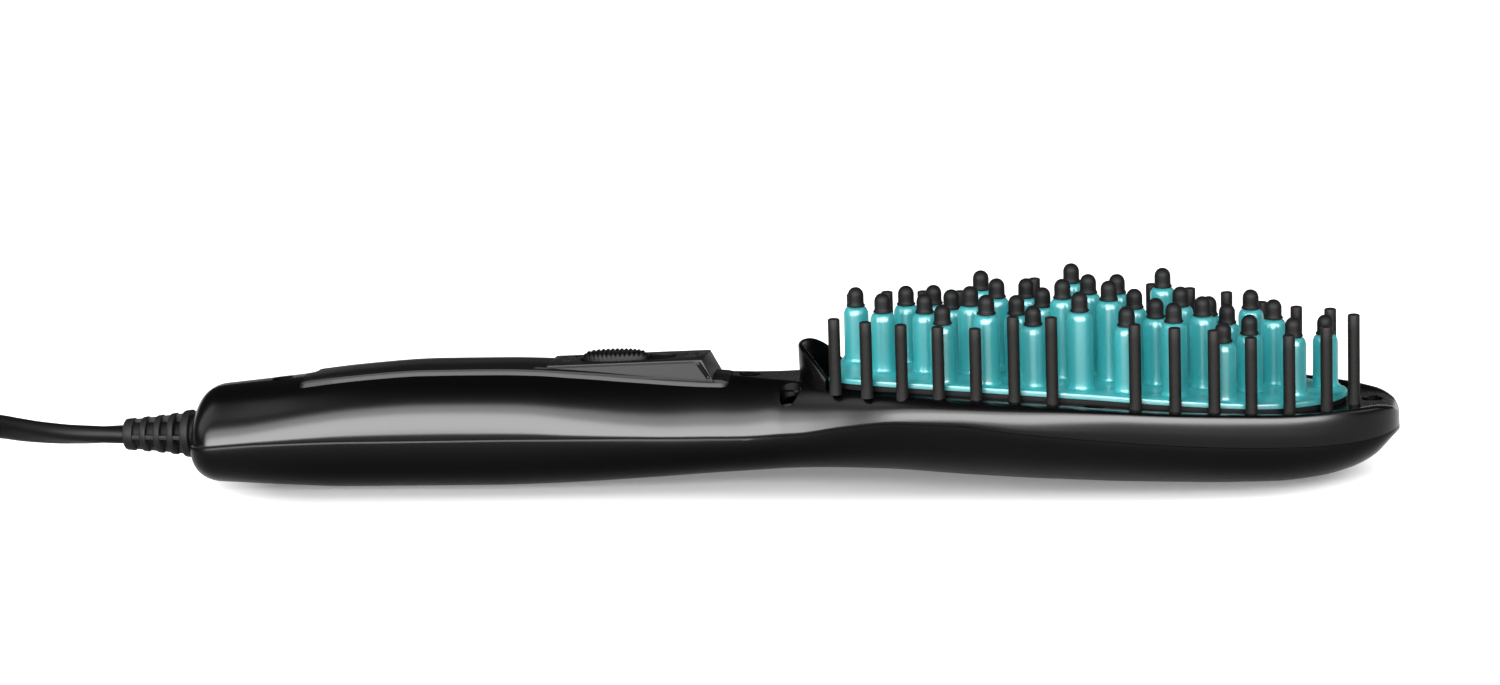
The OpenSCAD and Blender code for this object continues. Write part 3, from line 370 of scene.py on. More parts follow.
strap_in = coil_radius(coil_turns / 2 - 0.25) - cord_thick / 2 - 0.5
strap_out = coil_radius(coil_turns - 0.25) + cord_thick / 2 + 0.4
strap_top, strap_t, strap_w, strap_bend = 11.9, 0.6, 8, 2.2
strap_path = []
for corner_x, corner_z, first in ((strap_out, strap_top, 0), (strap_in, strap_top, 90),
                                  (strap_in, 0, 180), (strap_out, 0, 270)):
    inward_x = -strap_bend if corner_x == strap_out else strap_bend
    inward_z = -strap_bend if corner_z == strap_top else strap_bend
    for k in range(7):
        angle = math.radians(first + 15 * k)
        strap_path.append((corner_x + inward_x, corner_z + inward_z,
                           math.cos(angle), math.sin(angle)))
strap_rings = []
for x, z, cx, cz in strap_path:
    inner_x, inner_z = x + strap_bend * cx, z + strap_bend * cz
    outer_x, outer_z = inner_x + strap_t * cx, inner_z + strap_t * cz
    strap_rings.append([
        (inner_x, -strap_w / 2, inner_z), (outer_x, -strap_w / 2 + 0.15, outer_z),
        (outer_x, strap_w / 2 - 0.15, outer_z), (inner_x, strap_w / 2, inner_z)])
strap_points, strap_faces = through(strap_rings, ends=False)
last = len(strap_rings) - 1
strap_faces += [(last * 4 + j, j, (j + 1) % 4, last * 4 + (j + 1) % 4) for j in range(4)]
strap_points = [(x, y, max(z, 0.02)) for x, y, z in strap_points]
strap_weave = surface("strap_weave", (0.014, 0.014, 0.015), (0.03, 0.03, 0.032), 1.2,
                      (0.75, 0.95), 0.45, 0.12, sheen=0.5)
at_coil = Matrix.Translation((coil_x, coil_y, 0)) @ Matrix.Rotation(math.radians(tie_angle), 4, "Z")
strap = moulding("coil_strap", *placed((strap_points, strap_faces), at_coil), strap_weave,
                 sharp=50)
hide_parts("cord_tie")
tuple(c * MM for c in cord_line[0])
[tuple(c * MM for c in p) for p in cord_line]


# Lower shell. Injection-moulded satin black ABS, 2.2 mm thick, with screw posts inside;
# it carries the board and closes against the upper shell along a fine groove.
half_length, rear_r, widest_x, handle_w, head_w, wall = 139.4, 7, 75, 17.2, 29, 2.2
rear_x, tip_run = -half_length + rear_r, half_length - widest_x
width_line = [(-133, 0.89), (-110, 0.965), (-82, 1), (-55, 0.985), (-30, 0.885),
              (-12, 0.785), (0, 0.81)]
neck_line = [(0, 13.9), (14, 17.4), (30, 22.3), (45, 25.7), (60, 28.1), (75, 29)]
crest_line = [(-133, 23.4), (-118, 24.8), (-100, 26.4), (-82, 27.3), (-65, 27.3),
              (-48, 26.7), (-30, 25.6), (-14, 24.5), (0, 23.7), (14, 23.4), (30, 22.9),
              (45, 22.25), (60, 21.6), (75, 20.75), (90, 19.65), (105, 18.6), (117, 17.65),
              (134, 16.8), (138, 15.6), (140, 12.8)]
dish_line = [(45, 0), (60, 0.3), (80, 0.65), (95, 0.95), (105, 1.2), (116, 1.35), (125, 1.15),
             (131, 0.55), (136, 0.1), (140, 0)]
seam_line = [(-140, 11.1), (-120, 12.5), (-98, 13.1), (-65, 13.2), (-35, 12.8), (-9, 12.1),
             (5, 13), (16, 15.1), (30, 17), (42, 17), (57, 15.6), (75, 14.1), (90, 12.7),
             (109, 11.1), (125, 10), (131, 9.9), (136, 10.1), (140, 10.7)]
belly_line = [(-133, 1.2), (-118, 0.4), (-102, -0.2), (-68, -0.2), (-50, 0.2), (-34, 0.9),
              (-11, 2.1), (8, 2.9), (22, 2.6), (45, 1.2), (64, 0.4), (84, -0.2),
              (112, -0.2), (122, 0.6), (129, 2.2), (134, 4.6), (138, 8.4), (140, 10)]
corner_line = [(-60, 0.93), (-14, 0.85), (2, 0.62), (15, 0.4), (30, 0.27), (45, 0.2), (58, 0.15),
               (70, 0.115), (82, 0.095), (120, 0.1), (140, 0.3)]
belly_corner_line = [(-60, 0.85), (0, 0.9), (30, 0.97), (78, 0.97), (103, 0.84),
                     (120, 0.8), (140, 0.8)]
round_line = [(-139, 1.62), (-127, 1.68), (-110, 1.98), (-95, 2.18), (-80, 2.22), (-57, 2.08),
              (-46, 1.82), (-34, 1.6), (-22, 1.5), (-12, 1.5), (-4, 1.52), (3, 1.55),
              (10, 1.58), (16, 1.65), (25, 1.86), (36, 2.3), (47, 2.6), (60, 3),
              (70, 3.8), (81, 5), (92, 5.5)]
belly_round_line = [(-40, 2.2), (30, 2.04)]
fullest_line = [(-139, 0.9), (-30, 0.9), (12, 0.25), (40, 0.02)]


def line_at(x, line):
    """Value at x of a smooth line through points, which never overshoots them."""
    if x <= line[0][0]:
        return line[0][1]
    if x >= line[-1][0]:
        return line[-1][1]
    i = max(k for k in range(len(line) - 1) if line[k][0] <= x)
    rise = [(b[1] - a[1]) / (b[0] - a[0]) for a, b in zip(line, line[1:])]

    def slope(k):
        if k == 0 or k == len(line) - 1:
            return rise[0 if k == 0 else -1]
        both = rise[k - 1] * rise[k]
        return 2 * both / (rise[k - 1] + rise[k]) if both > 0 else 0

    run = line[i + 1][0] - line[i][0]
    t = (x - line[i][0]) / run
    return (line[i][1] * (1 + 2 * t) * (1 - t) ** 2 + slope(i) * run * t * (1 - t) ** 2
            + line[i + 1][1] * t * t * (3 - 2 * t) + slope(i + 1) * run * t * t * (t - 1))


def rear_cut(x):
    """How far the rounded rear end draws the outline in."""
    if x >= rear_x:
        return 0
    return rear_r * (1 - math.sqrt(max(0, 1 - ((rear_x - x) / rear_r) ** 2)))


def half_width(x):
    """Handle, then neck, then the oval end of the head."""
    if x < 0:
        return handle_w * line_at(x, width_line) - rear_cut(x)
    if x < widest_x:
        return line_at(x, neck_line)
    return max(1.2, head_w * math.sqrt(max(0, 1 - ((x - widest_x) / tip_run) ** 2)))


def crest_z(x):
    """Height of the upper shell's highest line."""
    return line_at(x, crest_line) - rear_cut(x)


def belly_z(x):
    """Height of the lower shell's lowest line."""
    return line_at(x, belly_line) + 0.7 * rear_cut(x)


def seam_z(x):
    """Height of the parting line."""
    return line_at(x, seam_line)


def floor_z(x):
    """Height of the dished deck of the head."""
    return crest_z(x) - line_at(x, dish_line)


def corner_sizes(x, inset=0.0):
    """How the side curves over the parting line: it is fullest a little below that line."""
    w, n = half_width(x) - inset, line_at(x, round_line)
    h, drop = crest_z(x) - inset - seam_z(x), line_at(x, fullest_line)
    rx = half_width(x) * line_at(x, corner_line) - 0.6 * inset
    return w, rx, h, n, drop, (1 - (drop / (h + drop)) ** n) ** (1 / n)


def side_reach(x, z, inset=0.0):
    """How far the side stands out at a height near the parting line."""
    w, rx, h, n, drop, full = corner_sizes(x, inset)
    share = max(0, z - seam_z(x) + drop) / (h + drop)
    return w - rx + rx * (1 - share ** n) ** (1 / n) / full


groove, groove_h, seam_gap = 0.12, 0.3, 0.03
corner_steps = 15
# Screws of the housing: place, height of the seat and depth of the end from the parting
# line, and radius of the post
screw_places = [(-118.8, 0, 4.4, 7, 3.2), (-7.6, 0, 4.4, 7, 3.2), (3, -9.6, 4.4, 4, 2.6),
                (3, 9.6, 4.4, 4, 2.6), (73.4, -22.9, 2.2, 7, 3.2), (73.4, 22.9, 2.2, 7, 3.2),
                (133.5, 0, 3.4, 2.8, 3.2)]
head_r, head_h, thread_r = 2.1, 1.6, 1.2


def lower_arc(x, inset):
    """The outline under the parting line, from the far side to the near side."""
    seam, drop = seam_z(x), line_at(x, fullest_line)
    level = seam - drop
    w, h = side_reach(x, level, inset), level - belly_z(x) - inset
    rx, n = w * line_at(x, belly_corner_line), line_at(x, belly_round_line)
    half = [(side_reach(x, seam, inset) - groove, seam - seam_gap)]
    half += [(side_reach(x, z, inset), z) for z in (
        seam - min(groove_h, drop / 2), seam - drop / 2, level)]
    # The outer skin is flat where it rests on the table; the inner one is free
    lowest = 0 if inset == 0 else -wall
    for k in range(1, corner_steps + 1):
        angle = math.radians(90 * k / corner_steps)
        z = level - h * math.sin(angle) ** (2 / n)
        half.append((w - rx + rx * max(0, math.cos(angle)) ** (2 / n),
                     max(lowest, min(z, seam - groove_h))))
    middle = [(k * (w - rx), half[-1][1]) for k in (0.5, 0, -0.5)]
    return half + middle + [(-y, z) for y, z in reversed(half)]


rear_steps = [-half_length + rear_r * (1 - math.cos(math.radians(a))) for a in range(0, 85, 6)]
mid_steps = [rear_x + k * (widest_x - rear_x) / 130 for k in range(131)]
tip_steps = [widest_x + tip_run * math.sin(math.radians(a)) for a in (
    [1.4 * k for k in range(1, 26)] + [35 + 2 * k for k in range(1, 20)]
    + [74 + 1.5 * k for k in range(1, 6)])] + [half_length - 0.35, half_length]
stations = rear_steps + mid_steps + tip_steps
cavity_start, cavity_end = -136.8, 128.8


def shell(arc):
    """A moulded half: outer skin, inner skin, and the flat edge that joins them."""
    points, faces = [], []
    count, last = len(arc(0, 0)), len(stations) - 1
    for x in stations:
        deep = between(cavity_start, cavity_end, (x + half_length) / (2 * half_length))
        points += [(x, y, z) for y, z in arc(x, 0)]
        points += [(deep, y, z) for y, z in arc(deep, wall)]
    for i in range(last):
        a, b = 2 * count * i, 2 * count * (i + 1)
        for j in range(count - 1):
            faces.append((a + j, b + j, b + j + 1, a + j + 1))
            faces.append((a + count + j, a + count + j + 1, b + count + j + 1, b + count + j))
        for j in (0, count - 1):
            faces.append((a + j, b + j, b + count + j, a + count + j))
    for a in (0, 2 * count * last):
        faces.append(tuple(range(a, a + count)))
        faces.append(tuple(range(a + count, a + 2 * count)))
        faces.append((a, a + count - 1, a + 2 * count - 1, a + count))
    return points, faces


def shell_bottom(x, y):
    """Height of the lower shell's skin under a point."""
    w, h, n = half_width(x), seam_z(x) - belly_z(x), line_at(x, belly_round_line)
    rx = w * line_at(x, belly_corner_line)
    side = min(1, max(0, (abs(y) - (w - rx)) / rx))
    return seam_z(x) - h * (1 - side ** n) ** (1 / n)


def post_foot(x, y, radius):
    """Where a post stands free of the skin below it."""
    return 0.6 + max(shell_bottom(
        min(x + radius * math.cos(math.radians(a)), half_length - 1),
        y + radius * math.sin(math.radians(a))) for a in range(0, 360, 30))


def post(x, y, radius, low, high):
    """A round post that stands at a place."""
    return placed(through(turned([(0.01, low), (radius, low), (radius, high), (0.01, high)], 32)),
                  Matrix.Translation((x, y, 0)))


satin_abs = surface("satin_black_abs", (0.0014, 0.0014, 0.0016), (0.0024, 0.0024, 0.0027), 30,
                    (0.26, 0.32), 0.3, 0.006, specular=0.05, wear_and_highlight=0.1)
lower = moulding("lower_shell_skin", *joined(shell(lower_arc), *[
    post(x, y, radius, post_foot(x, y, radius), seam_z(x) - seam_gap)
    for x, y, seat, end, radius in screw_places]), satin_abs, sharp=28)
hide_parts("lower_shell")


# What is inside. Two ceramic heaters clamped under the plate, the board with its parts,
# the wires and the screws: they stay as the frame has them, each in its own finish.
def keep(node, material):
    """A part of the frame stays as it is and gets its own finish."""
    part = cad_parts[node]
    part.data.materials.clear()
    part.data.materials.append(material)
    return part


ceramic = surface("alumina", (0.78, 0.76, 0.7), (0.84, 0.82, 0.77), 4, (0.6, 0.75), 0.4, 0.02)
keep("ceramic_heaters", ceramic)
film = surface("polyimide_film", (0.5, 0.24, 0.04), (0.62, 0.33, 0.07), 6, (0.2, 0.35), 1.5, 0.02)
keep("heater_insulation", film)
zinc_sheet = surface("zinc_sheet", (0.5, 0.51, 0.52), (0.62, 0.62, 0.63), 3, (0.3, 0.45), 0.5,
                     0.01, metal=1.0)
keep("heater_clamps", zinc_sheet)
keep("thermal_fuse", zinc_sheet)
screw_zinc = surface("screw_zinc", (0.45, 0.45, 0.47), (0.6, 0.6, 0.6), 1.5, (0.28, 0.42), 0.3,
                     0.01, metal=1.0)
for node in ("clamp_screws", "board_screws", "cord_clamp_screws"):
    keep(node, screw_zinc)
glass_bead = surface("glass_bead", (0.35, 0.12, 0.04), (0.45, 0.18, 0.07), 2, (0.08, 0.15), 0.6,
                     0.004, coat=0.5)
keep("temperature_sensor", glass_bead)
solder_mask = surface("solder_mask", (0.01, 0.12, 0.04), (0.015, 0.17, 0.06), 3, (0.25, 0.4),
                      1.1, 0.03)
keep("circuit_board", solder_mask)
yellow_epoxy = surface("yellow_epoxy", (0.55, 0.36, 0.02), (0.65, 0.45, 0.04), 4, (0.2, 0.3),
                       1.2, 0.03)
keep("film_capacitor", yellow_epoxy)
shrink_sleeve = surface("shrink_sleeve", (0.01, 0.02, 0.12), (0.02, 0.035, 0.17), 3,
                        (0.18, 0.28), 0.8, 0.01)
keep("smoothing_capacitor", shrink_sleeve)
case_resin = surface("case_resin", (0.012, 0.012, 0.012), (0.02, 0.02, 0.02), 2, (0.5, 0.65),
                     0.25, 0.03)
keep("triac", case_resin)
keep("switch_body", case_resin)
keep("cord_clamp", case_resin)
fuse_ceramic = surface("fuse_ceramic", (0.7, 0.7, 0.66), (0.78, 0.78, 0.74), 3, (0.35, 0.5),
                       0.6, 0.01)
keep("board_fuse", fuse_ceramic)
glass_sleeve = surface("glass_fibre_sleeve", (0.66, 0.65, 0.6), (0.76, 0.75, 0.71), 1,
                       (0.7, 0.85), 0.35, 0.06)
keep("heater_wires", glass_sleeve)
brown_pvc = surface("brown_pvc", (0.1, 0.04, 0.015), (0.13, 0.055, 0.02), 4, (0.35, 0.45), 0.8,
                    0.01)
keep("mains_wires", brown_pvc)
keep("cord_inner_end", cord_pvc)
lever_pom = surface("lever_acetal", (0.6, 0.6, 0.57), (0.68, 0.68, 0.65), 3, (0.35, 0.45), 0.5,
                    0.01)
keep("switch_lever", lever_pom)


# Upper shell. Gloss black ABS moulded in one piece with the dished deck of the head; it
# is screwed down from above and its recesses take the panel and the screw heads.
def upper_arc(x, inset):
    """The outline over the parting line, from the far side to the near side."""
    w, rx, h, n, drop, full = corner_sizes(x, inset)
    seam, top, flat = seam_z(x), crest_z(x) - inset, w - rx
    floor = floor_z(x) - inset
    start = math.asin((drop / (h + drop)) ** (n / 2))
    half = [(w - groove, seam + seam_gap),
            (side_reach(x, seam + groove_h, inset), seam + groove_h)]
    for k in range(1, corner_steps + 1):
        angle = between(start, math.pi / 2, k / corner_steps)
        z = seam - drop + (h + drop) * math.sin(angle) ** (2 / n)
        half.append((w - rx + rx * max(0, math.cos(angle)) ** (2 / n) / full,
                     max(seam + 1.1 * groove_h, z)))
    for k in range(1, 5):
        half.append((flat * (1 - 0.05 * k), between(top, floor, eased(k / 4))))
    middle = [(flat * k, floor) for k in (0.7, 0.46, 0.23, 0, -0.23, -0.46, -0.7)]
    return half + middle + [(-y, z) for y, z in reversed(half)]


def shell_top(x, y):
    """Height of the upper shell's skin over a point."""
    w, rx, h, n, drop, full = corner_sizes(x)
    side = min(1, max(0, (abs(y) - (w - rx)) / rx)) * full
    return seam_z(x) - drop + (h + drop) * (1 - side ** n) ** (1 / n)


def sheet_slab(places, reach, top, bottom, steps=24):
    """A slab over stations along X, from top down to bottom, that reaches either side."""
    points, faces = [], []
    for x in places:
        ys = [reach(x) * (2 * k / steps - 1) for k in range(steps + 1)]
        points += [(x, y, top(x, y)) for y in ys] + [(x, y, bottom(x, y)) for y in reversed(ys)]
    count = 2 * (steps + 1)
    for i in range(len(places) - 1):
        a, b = i * count, (i + 1) * count
        faces += [(a + j, b + j, b + (j + 1) % count, a + (j + 1) % count) for j in range(count)]
    faces.append(tuple(range(count)))
    faces.append(tuple(range(len(points) - 1, len(points) - 1 - count, -1)))
    return points, faces


def cut(piece, shapes, how="DIFFERENCE"):
    """Cuts closed shapes out of a piece, or joins them to it."""
    tool = moulding("tool", *joined(*shapes), None, body=None)
    step = piece.modifiers.new("cut", "BOOLEAN")
    step.object, step.operation, step.solver = tool, how, "EXACT"
    step.use_self = True
    shown = piece.evaluated_get(bpy.context.evaluated_depsgraph_get())
    mesh = bpy.data.meshes.new_from_object(shown)
    piece.modifiers.clear()
    piece.data = mesh
    bpy.data.objects.remove(tool)
    return piece


def skin_normals(piece, skin, angle=30):
    """Shades what lies on an uncut skin as smoothly as the skin itself."""
    smooth = bmesh.new()
    mesh = bpy.data.meshes.new("skin")
    mesh.from_pydata([[c * MM for c in p] for p in skin[0]], [], skin[1])
    smooth.from_mesh(mesh)
    bmesh.ops.recalc_face_normals(smooth, faces=smooth.faces)
    bmesh.ops.triangulate(smooth, faces=smooth.faces)
    smooth.faces.ensure_lookup_table()
    tree = BVHTree.FromBMesh(smooth)
    limit = math.cos(math.radians(angle))
    normals = [None] * len(piece.data.loops)
    for face in piece.data.polygons:
        for index in face.loop_indices:
            normals[index] = face.normal.copy() if face.area > 1e-9 else Vector((0, 0, 0))
            place = piece.data.vertices[piece.data.loops[index].vertex_index].co
            spot, flat, number, gap = tree.find_nearest(place)
            if gap > 3e-5:
                continue
            corners = smooth.faces[number].verts
            a, b, c = (v.co for v in corners)
            total = (b - a).cross(c - a).length
            if total < 1e-14:
                continue
            shares = [(b - spot).cross(c - spot).length, (c - spot).cross(a - spot).length,
                      (a - spot).cross(b - spot).length]
            smoothed = sum((v.normal * s for v, s in zip(corners, shares)), Vector()).normalized()
            if smoothed.dot(face.normal) > limit or face.area < 1e-9:
                normals[index] = smoothed
    piece.data.normals_split_custom_set(normals)
    smooth.free()
    bpy.data.meshes.remove(mesh)


panel_start, panel_end, panel_seat, panel_corner = -113, -11.5, 1.2, 1.5
panel_line = [(-113, 7.9), (-95, 7.8), (-72, 7.6), (-53, 7.5), (-40, 7.1), (-25, 6.65),
              (-12, 6.3)]
panel_mid, panel_half = (panel_start + panel_end) / 2, (panel_end - panel_start) / 2


def from_ends(x, grow=0.0):
    """Distance to the nearer end of the panel."""
    return min(x - panel_start, panel_end - x) + grow


def panel_reach(x, grow=0.0):
    """Half the panel's width, with its corners rounded."""
    short = max(0, panel_corner - from_ends(x, grow))
    return line_at(x, panel_line) + grow - panel_corner + math.sqrt(
        max(0, panel_corner ** 2 - short ** 2))


def panel_places(grow=0.0):
    """Stations along the panel, close together at its ends."""
    return [panel_mid + (panel_half + grow) * math.copysign(
        1 - (1 - abs(k) / 70) ** 2, k) for k in range(-70, 71)]


clear_z, deck_start = 40, dish_line[0][0]
pocket = sheet_slab(panel_places(), panel_reach, lambda x, y: clear_z,
                    lambda x, y: shell_top(x, y) - panel_seat)
screw_pockets, pocket_r, mouth_r = [], head_r + 0.2, head_r + 0.65
for x, y, seat, end, radius in screw_places:
    top = shell_top(x, y) if x < deck_start else floor_z(x) if y == 0 else crest_z(x)
    seat_z = seam_z(x) + seat
    screw_pockets.append(placed(through(turned(
        [(0.01, seat_z), (pocket_r, seat_z), (pocket_r, top - 0.25), (mouth_r, top + 0.2),
         (mouth_r, clear_z), (0.01, clear_z)], 40)), Matrix.Translation((x, y, 0))))
gloss_abs = surface("gloss_black_abs", (0.0012, 0.0012, 0.0013), (0.002, 0.002, 0.0022), 40,
                    (0.2, 0.25), 0.5, 0.0015, specular=0.13)
upper_skin = shell(upper_arc)
upper = moulding("upper_shell_skin", *joined(upper_skin, *[
    post(x, y, radius + 0.1, seam_z(x) + seam_gap, seam_z(x) + seat + 0.15)
    for x, y, seat, end, radius in screw_places]), gloss_abs, sharp=28)
cut(upper, [pocket] + screw_pockets)
skin_normals(upper, upper_skin)
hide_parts("upper_shell")


# Control panel. A long satin inlay pressed into the top of the handle; its front end
# rises into a platform with sloping sides, cut out for the slide switch.
panel_gap, strip_w, strip_h, groove_w, groove_deep, end_run = 0.2, 0.38, 0.82, 0.22, 0.4, 1.8
swell_h, edge_band = 0.85, 3


def proud(x, y):
    """The inlay swells out of the shell along its middle, and at once along its edges."""
    slow = 1 - min(1, abs(x - panel_mid) / panel_half) ** 4
    quick = min(1, max(0, from_ends(x) / end_run))
    edge = eased((abs(y) - panel_reach(x) + edge_band) / 2.2)
    return swell_h * between(slow, quick, edge)


panel_abs = surface("panel_satin_abs", (0.004, 0.004, 0.0041), (0.006, 0.006, 0.0061), 25,
                    (0.42, 0.48), 0.4, 0.004, specular=0.08)


def inlay_half(x):
    """From the pocket's edge inwards: a gap, the sloping strip, a groove, then the top."""
    reach, rise = panel_reach(x), strip_h * min(1, max(0, from_ends(x) / end_run))
    foot = shell_top(x, reach)
    outer = reach - panel_gap
    top, lip = outer - strip_w, outer - strip_w - 0.12
    half = [(outer, foot - 0.4), (outer, foot), (top, foot + rise), (top - 0.08, foot + rise),
            (lip, foot + rise - groove_deep), (lip - groove_w, foot + rise - groove_deep)]
    inner = lip - groove_w - 0.04
    return half + [(inner * k / 8, shell_top(x, inner * k / 8) + proud(x, inner * k / 8))
                   for k in range(8, 0, -1)]


inlay_rings = []
for x in panel_places(-panel_gap):
    half = inlay_half(x)
    top = half + [(0, crest_z(x) + proud(x, 0))] + [(-y, z) for y, z in reversed(half)]
    inlay_rings.append([(x, y, z) for y, z in top] + [
        (x, y, shell_top(x, y) - panel_seat + 0.05) for y, z in reversed(top)])
inlay_points, inlay_faces = through(inlay_rings)

# The platform: the ends of its top edge, and the front corner of its foot
deck_x, deck_z, deck_w = (-54, -17.6), (27.9, 28.8), 5.5
deck_foot_x, deck_foot_w, deck_foot_z = -14.9, 5.95, 23.4


def deck_top(x):
    """Height of the platform's sloping top."""
    return between(*deck_z, (x - deck_x[0]) / (deck_x[1] - deck_x[0]))


platform_points = [(x, side * y, z) for x, y, z in (
    (deck_x[0], deck_w, deck_z[0]), (deck_x[1], deck_w, deck_z[1]), (deck_x[0], 5.7, 26),
    (deck_foot_x, deck_foot_w, deck_foot_z)) for side in (-1, 1)]
platform_faces = [
    (0, 1, 3, 2), (0, 2, 6), (0, 6, 4), (1, 7, 3), (1, 5, 7), (0, 4, 5, 1), (2, 3, 7, 6),
    (4, 6, 7, 5)]
platform_mesh = bmesh.new()
corners = [platform_mesh.verts.new(p) for p in platform_points]
for face in platform_faces:
    platform_mesh.faces.new([corners[i] for i in face])
bmesh.ops.recalc_face_normals(platform_mesh, faces=platform_mesh.faces)
bmesh.ops.bevel(platform_mesh, geom=[e for e in platform_mesh.edges if e.calc_face_angle() > 0.2],
                offset=0.22, segments=3, profile=0.5, affect="EDGES")
platform = ([tuple(v.co) for v in platform_mesh.verts],
            [tuple(v.index for v in f.verts) for f in platform_mesh.faces])
platform_mesh.free()


def rod(start, end, radius, sides=16):
    """A round bar with rounded ends between two points."""
    start, end = Vector(start), Vector(end)
    outline = rounded_profile([(0.01, 0), (radius, 0), (radius, (end - start).length),
                               (0.01, (end - start).length)], 0.8 * radius)
    turn = (end - start).to_track_quat("Z", "Y").to_matrix().to_4x4()
    return placed(through(turned(outline, sides)), Matrix.Translation(start) @ turn)


def beam(start, end, wide, low, high):
    """A bar with square edges between two points: low and high count from their height."""
    start, end = Vector(start), Vector(end)
    side = Vector((0, 0, 1)).cross(end - start).normalized() * wide / 2
    rings = []
    for spot in (start, end):
        rings.append([tuple(spot + across + Vector((0, 0, z))) for across, z in (
            (-side, low), (side, low), (side, high), (-side, high))])
    return through(rings)


# At either front corner of the platform a bar runs between two studs; its middle is a separate rod
# in a near-black finish, painted shade, and a groove runs under its top edge
bar_r, deck_bars, bar_painted_shade_rods = 0.5, [], []
for side in (-1, 1):
    top, foot = Vector((-18.5, side * 5.78, 28.05)), Vector((-16.1, side * 6.08, 24.5))
    end = 0.13 * (foot - top)
    deck_bars += [rod(top, top + end, bar_r), rod(foot - end, foot, bar_r)]
    bar_painted_shade_rods.append(rod(top + 0.6 * end, foot - 0.6 * end, bar_r - 0.02))
deck_grooves = [beam((-57, side * 5.7, 27.83), (-19.4, side * 5.7, 28.76), 0.8, -0.75, -0.34)
                for side in (-1, 1)]

# OFF and ON stand at the ends of the slot, read from the handle's far side
letter_h, letter_gap, stroke_w, stroke_deep, left, bar_h = 2.6, 0.7, 0.46, 0.2, 0.15, 1.4
o_corners = [(0.6, 0), (1.3, 0), (1.75, 0.5), (1.75, letter_h - 0.5), (1.3, letter_h),
             (0.6, letter_h), (left, letter_h - 0.5), (left, 0.5)]
letters = {
    "O": (1.9, list(zip(o_corners, o_corners[1:] + o_corners[:1]))),
    "F": (1.6, [((left, 0), (left, letter_h)), ((left, letter_h), (1.5, letter_h)),
                ((left, bar_h), (1.2, bar_h))]),
    "N": (2.0, [((left, 0), (left, letter_h)), ((left, letter_h), (1.75, 0)),
                ((1.75, 0), (1.75, letter_h))])}


def word(text, x, y):
    """Strokes of a word that is centred at a point: its letters stand along X."""
    long = sum(letters[c][0] for c in text) + letter_gap * (len(text) - 1)
    at, strokes = -long / 2, []
    for c in text:
        for start, end in letters[c][1]:
            a, b = (Vector((x + v - letter_h / 2, y - at - u, deck_top(x + v - letter_h / 2)))
                    for u, v in (start, end))
            more = (b - a).normalized() * 0.15
            strokes.append(beam(a - more, b + more, stroke_w, -stroke_deep, 2))
        at += letters[c][0] + letter_gap
    return strokes


knob_x, knob_l, knob_w, knob_base, travel = -38.8, 15.6, 6.4, 26.9, 6
slot_l, slot_w, slot_deep, stem_l, stem_w = knob_l + travel + 0.8, knob_w + 0.9, 2.4, 10.2, 3.4


def oval_ring(long, wide, z, power, sides=64):
    """An oval outline at one height: a higher power makes it squarer."""
    ring = []
    for k in range(sides):
        c, s = math.cos(2 * math.pi * k / sides), math.sin(2 * math.pi * k / sides)
        ring.append((long / 2 * math.copysign(abs(c) ** (2 / power), c),
                     wide / 2 * math.copysign(abs(s) ** (2 / power), s), z))
    return ring


at_slot = Matrix.Translation((knob_x + travel / 2, 0, 0))
slot = placed(through([oval_ring(slot_l, slot_w, z, 3)
                       for z in (knob_base - slot_deep, clear_z)]), at_slot)
stem_slot = placed(through([[(x * stem_l / 2, y * stem_w / 2, z) for x, y in (
    (-1, -1), (1, -1), (1, 1), (-1, 1))] for z in (20, clear_z)]), at_slot)
panel = moulding("control_inlay", inlay_points, inlay_faces, panel_abs, sharp=25)
cut(panel, [platform], how="UNION")
cut(panel, deck_bars, how="UNION")
cut(panel, [slot, stem_slot] + deck_grooves + word("OFF", -50, 1) + word("ON", -21.3, 0))
panel.data.set_sharp_from_angle(angle=math.radians(25))
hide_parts("control_panel")

# A near-black liner in the slot is painted shade of the slot's depth, and the middles of the bars
# at the platform's corners carry the same painted shade
slot_painted_shade = surface("slot_painted_shade", (0.0006, 0.0006, 0.0006), (0.001, 0.001, 0.001), 3,
                        (0.55, 0.7), 0.3, 0.01, specular=0.02)
liner_top, liner_out, liner_in = deck_z[0] + 0.3, 0.02, 0.34
liner_rings = [oval_ring(slot_l - inset, slot_w - inset, z, 3) for inset, z in (
    (liner_out, knob_base - slot_deep + 0.1), (liner_out, liner_top), (liner_in, liner_top),
    (liner_in, knob_base - slot_deep + 0.4))]
liner = moulding("slot_shade_liner", *joined(placed(through(liner_rings), at_slot), *bar_painted_shade_rods),
                 slot_painted_shade, sharp=40)


# Slide switch. A ribbed oval thumb piece in matte black that moves 6 mm along the handle,
# from OFF to ON, and clips over the white lever of the switch below.
crown_h, crown_rise, rib_h, rib_pitch = 1.75, 0.95, 0.5, 0.0685 * knob_l


def knob_top(x, y):
    """A low crown with ribs across it, which fade towards its rim."""
    along, across = 2 * x / knob_l, 2 * y / knob_w
    inside = max(0, 1 - along * along - across * across)
    crown = knob_base + crown_h + crown_rise * min(1, inside * 2.2) ** 0.5
    phase = (x / rib_pitch + 0.5) % 1 - 0.5
    rib = rib_h * math.sqrt(max(0, 1 - (phase / 0.42) ** 2))
    return crown + rib * eased(inside / 0.22)


knob_places = [knob_l / 2 * math.sin(math.pi / 2 * k / 110) for k in range(-110, 111)]
knob_nylon = surface("knob_nylon", (0.002, 0.002, 0.0021), (0.0036, 0.0036, 0.0037), 3,
                     (0.4, 0.5), 0.3, 0.01, specular=0.035, wear_and_highlight=0.3)
knob = moulding("thumb_slide", *placed(sheet_slab(
    knob_places, lambda x: knob_w / 2 * math.sqrt(max(0, 1 - (2 * x / knob_l) ** 2)),
    knob_top, lambda x, y: knob_base), Matrix.Translation((knob_x, 0, 0))), knob_nylon,
    body="slider", sharp=50)
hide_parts("switch_knob")


